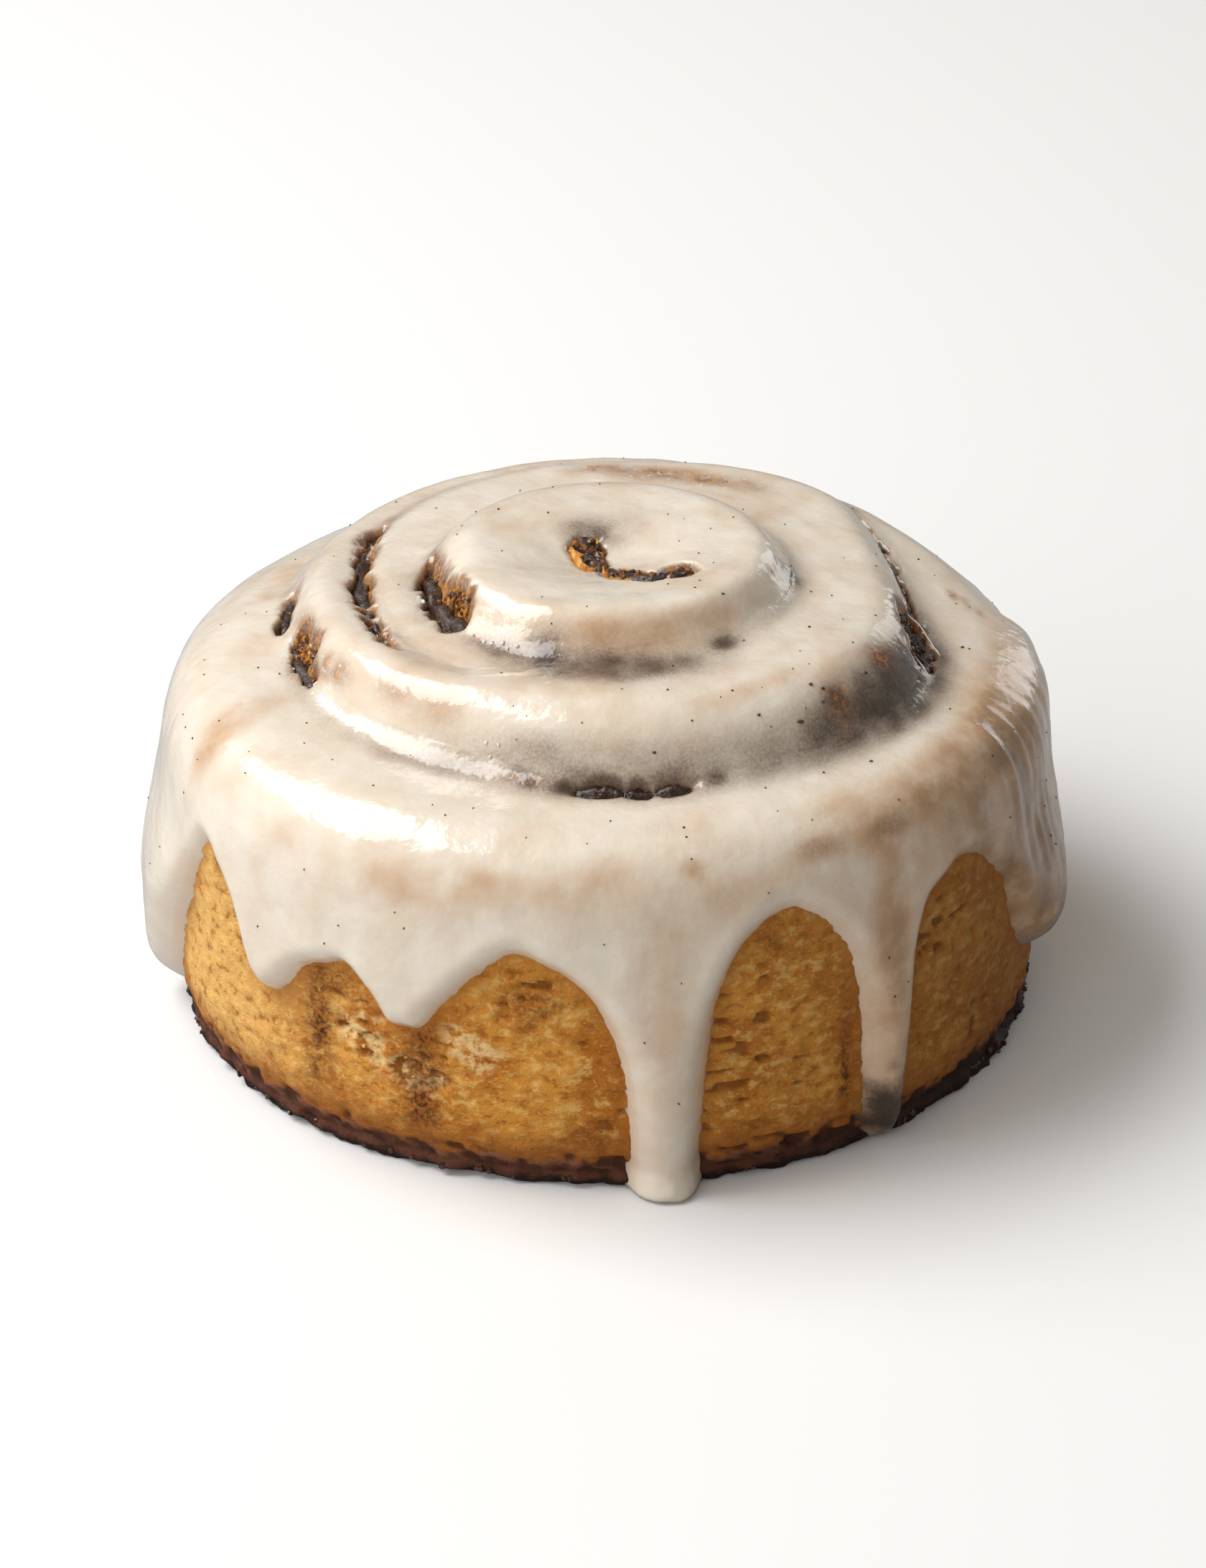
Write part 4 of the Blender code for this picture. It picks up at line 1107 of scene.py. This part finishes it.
# Caramel-brown places where the icing is thinnest: (angle, radius, half length, half width, strength)
BROWNED = [(90, 31.0, 4, 1.5, 0.95), (81, 30.4, 4, 1.8, 0.95), (72, 30.3, 4, 1.6, 0.95),
           (64, 30.6, 4, 1.4, 0.8), (56, 32.0, 3, 1.3, 0.6), (210, 34.0, 2.2, 0.8, 0.9),
           (226, 33.1, 3, 0.7, 0.5), (237, 33, 3, 1.0, 0.35), (205, 34.6, 1.5, 1.0, 0.8),
           (195.5, 35.3, 3.0, 2.0, 1.0), (199, 36.3, 2, 1.0, 0.8), (187, 34.6, 3, 1.2, 0.7),
           (150, 31.8, 3, 0.9, 0.7), (141, 32.0, 3, 0.9, 0.6), (14.5, 42.0, 1.6, 0.5, 0.9),
           (12, 43.0, 1.6, 0.5, 0.9), (9.5, 44.0, 1.6, 0.5, 0.7), (358.2, 34.0, 1.4, 1.0, 1.0),
           (4, 34.2, 1.6, 0.8, 0.7), (14, 34.0, 2, 0.6, 0.5), (352, 34.2, 2.4, 0.8, 0.7),
           (343, 35.0, 3, 0.8, 0.5), (173, 36.0, 4, 0.9, 0.8), (179, 36.4, 3, 0.9, 0.7),
           (24, 35.6, 3, 0.7, 0.5), (44, 41.2, 2, 0.6, 0.7), (48, 41.9, 2, 0.6, 0.6),
           (170, 19.4, 3, 0.9, 0.5), (331, 34.8, 1.6, 1.2, 1.0), (333, 35.4, 1.2, 0.8, 1.0),
           (316, 35.6, 1.8, 1.2, 0.8), (316, 37.4, 2, 0.8, 0.4), (255, 36.8, 3, 0.6, 0.5)]

# Soft tan places: (angle, station, half length, half height, strength)
TANNED = [(252.8, 1.60, 5, 3.4, 0.40), (243, 1.62, 5, 3.6, 0.45), (248, 1.73, 6, 2.6, 0.32),
          (263, 1.63, 7, 3.4, 0.36), (256, 1.55, 3, 1.5, 0.3), (206, 1.41, 2.6, 7, 0.65),
          (204, 1.2, 3, 6, 0.5), (227, 1.60, 4, 3.5, 0.4), (223, 1.84, 2, 2, 0.3), (309, 1.45, 7, 4, 0.75),
          (298, 1.46, 4, 2.6, 0.6), (281, 1.46, 1.8, 2.0, 0.8), (333, 1.50, 8, 6, 0.85),
          (321, 1.38, 8, 5, 0.85), (345, 1.6, 6, 8, 0.8), (352, 1.3, 6, 6, 0.7), (340, 1.15, 6, 3, 0.5),
          (304, 1.2, 6, 3, 0.5), (288, 1.64, 7, 4, 0.55), (271, 1.5, 6, 4, 0.40), (277, 1.9, 4.5, 6, 0.45),
          (277, 2.4, 3, 9, 0.25), (20, 1.1, 4, 2, 0.4), (186, 0.98, 5, 3, 0.4), (268, 0.475, 8, 2.4, 0.55),
          (288, 0.485, 8, 2.4, 0.60), (304, 0.48, 6, 2.0, 0.5), (306, 0.78, 7, 1.6, 0.45),
          (320, 0.84, 6, 2, 0.55), (290, 0.80, 6, 1.6, 0.3), (72, 0.80, 8, 2.4, 0.5),
          (237, 0.82, 4, 1.4, 0.4), (338, 0.9, 6, 2, 0.5), (307, 2.4, 4, 10, 0.6), (307, 1.9, 4, 8, 0.65)]

# Soft dark places on the shoulder, in the same terms
SHADED = [(309, 1.46, 3.8, 2.4, 0.50), (298.5, 1.46, 3.6, 2.2, 0.45), (336, 1.56, 3, 4, 0.45),
          (332, 1.43, 4, 3, 0.4), (320, 1.40, 5, 3, 0.3), (345, 1.30, 5, 3, 0.4), (342, 1.85, 3, 6, 0.35)]

# Millimetres for one station over the top and round the shoulder
ACROSS_TOP = 40.0
ACROSS_SHOULDER = 22.0

# The most that one mark covers
MARK_FULL = 0.95

# Painted shade, grey and tan, over the whole right side: angle and reach
RIGHT_SIDE = 336
RIGHT_REACH = 36


def marks(angle, across, radius, table):
    """Soft oval marks that a table lists, laid over each other; 0 is clear and 1 is full."""
    clear = np.ones_like(radius)
    for *oval, strength in table:
        clear *= 1 - np.minimum(strength * hump(from_oval(angle, radius, across, oval)), MARK_FULL)
    return 1 - clear


def strongest(*fields):
    """The strongest of several marks at each place."""
    return reduce(np.maximum, fields)


on_top = station < 1.3
unrolled = np.where(station < 1, station * ACROSS_TOP, ACROSS_TOP + (station - 1) * ACROSS_SHOULDER)
tan_marks, dark_marks = ([(a, s * ACROSS_TOP if s < 1 else ACROSS_TOP + (s - 1) * ACROSS_SHOULDER, u, v, w)
                          for a, s, u, v, w in table] for table in (TANNED, SHADED))
steep = np.abs(np.gradient(icing_height, axis=0)) / (np.abs(np.gradient(icing_radius, axis=0)) + 0.05)
wall = smooth((steep - 0.5) / 1.2) * (station < 1)
near_middle = hump(radius / 9)
right_shade = hump(around(angle, RIGHT_SIDE) / RIGHT_REACH) * smooth((station - 0.98) / 0.25)
drip_foot = smooth((14.0 - height) / 9 + 0.30 * rough(place, 2.4, 69)) * (station > 2)
rings = np.stack([radius, angle * 0.06, 0 * radius], axis=-1)

# A hole's rim is caramel brown, but black in front and partly so in the middle
glazed = 1 - hump(around(angle, 270) / 30) * (radius > OUTER_SEAM) * 0.9
glazed *= 1 - 0.6 * near_middle
browned = strongest(
    marks(angle, radius, radius, BROWNED) * on_top * (0.8 + 0.5 * rough(place, 1.4, 65)),
    0.9 * glazed * smooth((hole + 0.8) / 0.7))
# Grey is dark paste seen through thin icing, and painted shade: in the hollow and groove of the middle, round
# the holes and over the right side
grey = strongest(
    marks(angle, radius, radius, PASTE_AND_SHADE_MARKS) * on_top * (0.92 + 0.25 * rough(place, 3.0, 61)) + 0.08 * wall,
    marks(angle, unrolled, radius, dark_marks),
    0.60 * smooth((hole + 1.1) / 1.0),
    0.85 * smooth((hole + 1.6) / 1.6) * near_middle,
    0.95 * (1 - glazed) * smooth((hole + 1.0) / 0.8),
    (0.85 + 0.5 * rough(place, 2.0, 70)) * hump((angle - DARK_FOOT_ANGLE) / 7) * drip_foot,
    right_shade * (0.24 + 0.30 * rough(place, (6.0, 6.0, 9.0), 68)))
# Tan is crust seen through thin icing, with painted warm shade over the right side
tan_and_shade = strongest(
    marks(angle, unrolled, radius, tan_marks) * (0.9 + 0.25 * rough(place, 6.0, 62)),
    wall * 0.40 * smooth((-away - 0.8) / 1.2) * (0.6 + 0.8 * rough(place, 5.0, 63)),
    0.16 + 0.30 * rough(place, 9.0, 64) + 0.14 * rough(rings, (1.7, 1, 1), 66) * on_top,
    right_shade * (0.80 + 0.35 * rough(runs, (4.0, 4.0, 3.0), 67)))
for name, values in (("grey", grey), ("tan_and_shade", tan_and_shade), ("browned", browned)):
    paint(icing_mesh, name, np.clip(values, 0, 1))
paint(icing_mesh, "edge", smooth((inside - 0.1) / 1.4) * (facing > 0.5) + (facing <= 0.5))
poured_icing = show("poured_icing", icing_mesh)


def sugar_icing():
    """Cream-white glossy icing that lets dark paste and tan crust show through, with painted shade in places.
    """
    f = Finish("sugar_icing")
    soft = f.noise(5.0, 3.0)
    grain = f.noise(0.35, 3.0, 0.6)
    tan_and_shade = f.times(f.attribute("tan_and_shade"), f.step(f.noise(3.0, 3.0, 0.55), -0.30, 0.75))
    veil_and_shade = f.math("ADD", f.attribute("grey"), f.times(f.math("SUBTRACT", grain, 0.5), 0.35))
    speckle = f.noise(0.8, 4.0, 0.7)
    glaze = f.blend(f.step(speckle, 0.45, 0.60), (0.13, 0.035, 0.006), (0.55, 0.22, 0.028))
    colour = f.layered(
        # cream white, warmer where the edge is thin
        f.blend(f.step(soft, 0.3, 0.7), (0.83, 0.725, 0.59), (0.89, 0.81, 0.695)),
        (f.times(f.step(f.attribute("edge"), 0.6, 0.1), 0.35), (0.82, 0.56, 0.36)),
        # tan crust, dark paste and caramel that show through, and painted shade laid in with the grey and the
        # tan
        (f.step(tan_and_shade, 0.0, 0.75), (0.62, 0.375, 0.200)),
        (f.times(f.step(tan_and_shade, 0.45, 1.1), 0.80), (0.20, 0.11, 0.055)),
        (f.times(f.step(veil_and_shade, 0.04, 0.95), 0.88), (0.165, 0.092, 0.050)),
        (f.times(f.step(veil_and_shade, 0.45, 1.05), 0.90), (0.026, 0.011, 0.005)),
        (f.times(f.attribute("browned"), f.step(speckle, 0.30, 0.50)), glaze))
    # soft waves, a fine orange-peel and sugar grain
    normal = f.bump(f.noise(3.0, 2.0), 0.20, 0.8)
    normal = f.bump(f.noise(0.9, 2.0), 0.055, 0.8, normal)
    normal = f.bump(grain, 0.02, 0.5, normal)
    roughness = f.blend(f.noise(3.0, 3.0), (0.25, 0.25, 0.25), (0.42, 0.42, 0.42))
    return f.finish(colour, roughness, normal, Subsurface_Weight=0.35, Subsurface_Scale=0.0025,
                    Subsurface_Radius=(1.0, 0.7, 0.45), Specular_IOR_Level=0.4, Coat_Weight=1.0,
                    Coat_Roughness=0.04, Coat_IOR=1.47)


icing_mesh.materials.append(sugar_icing())
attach(poured_icing, "root")
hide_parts("icing")

# Specks.
# Ground cinnamon and burnt crumbs, which the warm icing washed off the dough. They float in it as small dark
# dots all over the top and the drips, with a few larger ones at the right front.

# How far specks keep from a hole and from the icing's edge, and the station where they end
SPECKS_OFF_HOLE = 1.2
SPECKS_OFF_EDGE = 1.5
SPECKS_END = 2.2

speck_finish = set_sugar("floating_specks", (0.030, 0.012, 0.007), (0.12, 0.045, 0.015), (0.35, 0.13, 0.03))
clear_of_edges = (hole < -SPECKS_OFF_HOLE) & ((inside > SPECKS_OFF_EDGE) | (facing < 0.3))
speck_faces = faces_where("speck_faces", icing_points, clear_of_edges & (station < SPECKS_END))
specks = strew("floating_specks", speck_faces, speck_finish, 0.016, 1.6,
               (0.07, 0.07, 0.06), (0.24, 0.18, 0.14), 12)
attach(specks, "root")
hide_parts("icing")

# Larger specks: (angle, radius, half length), their width for each length, and half height
SPECKS = [(330.8, 26.5, 0.18), (312.2, 34.1, 0.26), (314.0, 34.9, 0.24), (312.5, 35.9, 0.20),
          (325.2, 35.5, 0.26), (315.8, 37.2, 0.24), (314.5, 42.1, 0.24), (306.5, 36.4, 0.45),
          (318.5, 17.9, 0.22), (356.2, 41.2, 0.22), (283.8, 29.7, 0.16), (299.2, 35.0, 0.20),
          (279.0, 35.7, 0.22), (281.0, 45.6, 0.16), (281.0, 47.0, 0.16)]
SPECK_WIDTH = 0.7
SPECK_HEIGHT = 0.2


def icing_place(at, out):
    """Point on the icing's top at an angle and a radius in plan."""
    plan = place_xyz(np.float64(at), np.float64(out), np.float64(0))[:2]
    gap = np.hypot(icing_points[..., 0] - plan[0], icing_points[..., 1] - plan[1]) + 9 * (station > 1.9)
    return np.append(plan, icing_points[..., 2].ravel()[gap.argmin()])


form = bmesh.new()
for at, out, half in SPECKS:
    shape = Matrix.Diagonal((half * MM, half * SPECK_WIDTH * MM, SPECK_HEIGHT * MM, 1))
    shape = Matrix.Translation(icing_place(at, out) * MM) @ shape
    bmesh.ops.create_icosphere(form, subdivisions=2, radius=1, matrix=shape)
speck_mesh = outward_mesh("larger_specks", form)
speck_mesh.materials.append(speck_finish)
larger_specks = show("larger_specks", speck_mesh)
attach(larger_specks, "root")
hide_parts("icing")

# Threads of icing.
# Where the icing slid off the open seam on the right, thin threads of it were drawn out. They set in the air
# across the dark paste, thick at both ends and thin between.

# (angle, radius) of the upper and the lower end, and the thread's half thickness
THREADS = [((356.5, 34.6), (348.5, 37.8), 0.08), ((352.5, 34.2), (342.5, 38.6), 0.13),
           ((1.0, 35.0), (352.0, 38.6), 0.09), ((6.0, 35.4), (357.0, 38.2), 0.08)]

# Steps along a thread, and sides round it
THREAD_STEPS = 14
THREAD_SIDES = 6

# How high a thread arches, how deep its ends are sunk in the icing, and how far it wanders to the side
THREAD_ARCH = 0.5
THREAD_SUNK = 0.25
THREAD_WANDER = 0.7


def icing_threads():
    """Thin bent tubes between places on the icing."""
    form = bmesh.new()
    for number, (upper, lower, half) in enumerate(THREADS):
        start, end = icing_place(*upper), icing_place(*lower)
        t = np.linspace(0, 1, THREAD_STEPS)[:, None]
        path = start * (1 - t) + end * t
        path[:, 2] += THREAD_ARCH * np.sin(np.pi * t[:, 0]) ** 0.7 - THREAD_SUNK
        path[:, :2] += THREAD_WANDER * rough(path + 7.0 * number, 4.0, 71)[:, None] * np.array([1.0, -0.6])
        width = half * (0.8 + 0.9 * (2 * t[:, 0] - 1) ** 4 + 0.3 * rough(path + 3.0, 1.0, 72))
        rings = []
        for k in range(THREAD_STEPS):
            way = path[min(k + 1, THREAD_STEPS - 1)] - path[max(k - 1, 0)]
            way /= np.linalg.norm(way)
            across = np.cross(way, (0, 0, 1))
            across /= np.linalg.norm(across)
            over = np.cross(across, way)
            sides = np.arange(THREAD_SIDES) * 2 * np.pi / THREAD_SIDES
            rings.append([form.verts.new((path[k] + width[k] * (np.cos(a) * across + np.sin(a) * over)) * MM)
                          for a in sides])
        for first, second in zip(rings, rings[1:]):
            for k in range(THREAD_SIDES):
                after = (k + 1) % THREAD_SIDES
                form.faces.new((first[k], first[after], second[after], second[k]))
        form.faces.new(rings[0][::-1])
        form.faces.new(rings[-1])
    mesh = outward_mesh("icing_threads", form)
    mesh.shade_smooth()
    return mesh


drawn = Finish("icing_thread")
thread_finish = drawn.finish(drawn.blend(drawn.noise(1.5), (0.80, 0.66, 0.50), (0.90, 0.82, 0.72)), 0.3,
                             drawn.bump(drawn.noise(0.5), 0.05, 0.5), Coat_Weight=1.0, Coat_Roughness=0.05)
threads = show("icing_threads", icing_threads())
threads.data.materials.append(thread_finish)
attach(threads, "root")
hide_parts("icing")

# Beads of syrup.
# Clear syrup of sugar and butter boiled up out of the seam in the oven's last heat. It pushed through the
# icing beside the holes and set there in small round beads.

syrup = Finish("clear_syrup")
syrup_finish = syrup.finish(syrup.blend(syrup.noise(0.8), (0.80, 0.72, 0.62), (0.95, 0.92, 0.88)), 0.06,
                            syrup.bump(syrup.noise(0.5), 0.05, 0.5), Coat_Weight=1.0, Coat_Roughness=0.02)

# Where beads stand: (angle, radius, half length, half width, strength)
BEADED = [(232, 20.6, 2.6, 1.1, 0.9), (246, 20.8, 3.0, 1.2, 0.9), (222, 21.0, 2.0, 0.9, 0.9),
          (188, 21.0, 3.0, 0.9, 0.9), (195.5, 35.2, 2.8, 1.8, 0.9), (249, 34.6, 2.0, 0.8, 0.9),
          (205, 36.0, 2.0, 0.8, 0.9)]
beaded = (marks(angle, radius, radius, BEADED) > 0.5) & on_top
syrup_beads = strew("syrup_beads", faces_where("bead_faces", icing_points, beaded), syrup_finish, 0.8, 0.7,
                    (0.12, 0.12, 0.10), (0.36, 0.32, 0.26), 4, 3)
syrup_beads.data.shade_smooth()
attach(syrup_beads, "root")
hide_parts("icing")

# Studio.
# A plain pale floor of painted board. One large soft light hangs high on the left like a window, a weaker and
# wider one fills from the front left, and a faint small one stands low behind on the right.

# Half the width of the floor, the height that the lights aim at, and the brightness of the room's own light
FLOOR_HALF = 2.0
AIM_HEIGHT = 0.03
ROOM_LIGHT = 0.27
floor_mesh = bpy.data.meshes.new("floor")
floor_mesh.from_pydata([(-FLOOR_HALF, -FLOOR_HALF, 0), (FLOOR_HALF, -FLOOR_HALF, 0),
                        (FLOOR_HALF, FLOOR_HALF, 0), (-FLOOR_HALF, FLOOR_HALF, 0)], [], [(0, 1, 2, 3)])
floor = show("floor", floor_mesh)
floor_finish = Finish("pale_floor")
# To the camera the floor is pale; to every other ray it is mid grey, so it throws back less light onto the
# roll
seen = floor_finish.add("ShaderNodeLightPath").outputs["Is Camera Ray"]
shade = floor_finish.blend(seen, (0.45, 0.45, 0.45), (0.97, 0.97, 0.97))
floor_grain = floor_finish.bump(floor_finish.noise(4.0), 0.02, 0.2)
floor_mesh.materials.append(floor_finish.finish(shade, 0.9, floor_grain, Specular_IOR_Level=0.1))


def soft_light(name, azimuth, elevation, distance, size, power):
    """Soft rectangular light that faces the roll from an azimuth and an elevation in degrees."""
    light = bpy.data.lights.new(name, "AREA")
    light.shape = "RECTANGLE"
    light.size, light.size_y = size
    light.energy = power
    lamp = bpy.data.objects.new(name, light)
    a, e = np.radians(azimuth), np.radians(elevation)
    toward = Vector((np.cos(a) * np.cos(e), np.sin(a) * np.cos(e), np.sin(e)))
    lamp.location = toward * distance + Vector((0, 0, AIM_HEIGHT))
    lamp.rotation_euler = (-toward).to_track_quat("-Z", "Y").to_euler()
    bpy.context.scene.collection.objects.link(lamp)
    return lamp


soft_light("window", 172, 52, 0.9, (0.75, 0.6), 8.1)
soft_light("fill", 228, 16, 1.1, (1.4, 0.9), 5.9).visible_glossy = False
soft_light("side", 55, 12, 1.0, (0.3, 0.5), 0.7)
world = bpy.data.worlds.new("studio")
world.use_nodes = True
room = world.node_tree.nodes["Background"].inputs
room["Color"].default_value = (1.0, 0.95, 0.87, 1.0)
room["Strength"].default_value = ROOM_LIGHT
bpy.context.scene.world = world

# Camera.
# It stands 650 mm from the middle of the base, 29.5 degrees above level, and looks at the front. The frame is
# 1680 by 2184 pixels, and the middle of the base is 249 pixels below the middle of the frame.

# Millimetres, angle, pixels for one millimetre at the middle, and pixels
DISTANCE = 650.0
ELEVATION = np.radians(29.5)
PIXELS_PER_MM = 11.751
FRAME_HEIGHT = 2184
BELOW_MIDDLE = 249
focal = PIXELS_PER_MM * DISTANCE
camera_data = bpy.data.cameras.new("camera")
camera_data.lens = camera_data.sensor_width * focal / FRAME_HEIGHT
camera_data.clip_start = 0.01
camera = bpy.data.objects.new("camera", camera_data)
camera.location = (0, -DISTANCE * np.cos(ELEVATION) * MM, DISTANCE * np.sin(ELEVATION) * MM)
camera.rotation_euler = (np.pi / 2 - ELEVATION + np.arctan(BELOW_MIDDLE / focal), 0, 0)
bpy.context.scene.collection.objects.link(camera)
bpy.context.scene.camera = camera
bpy.context.scene.view_settings.view_transform = "Standard"
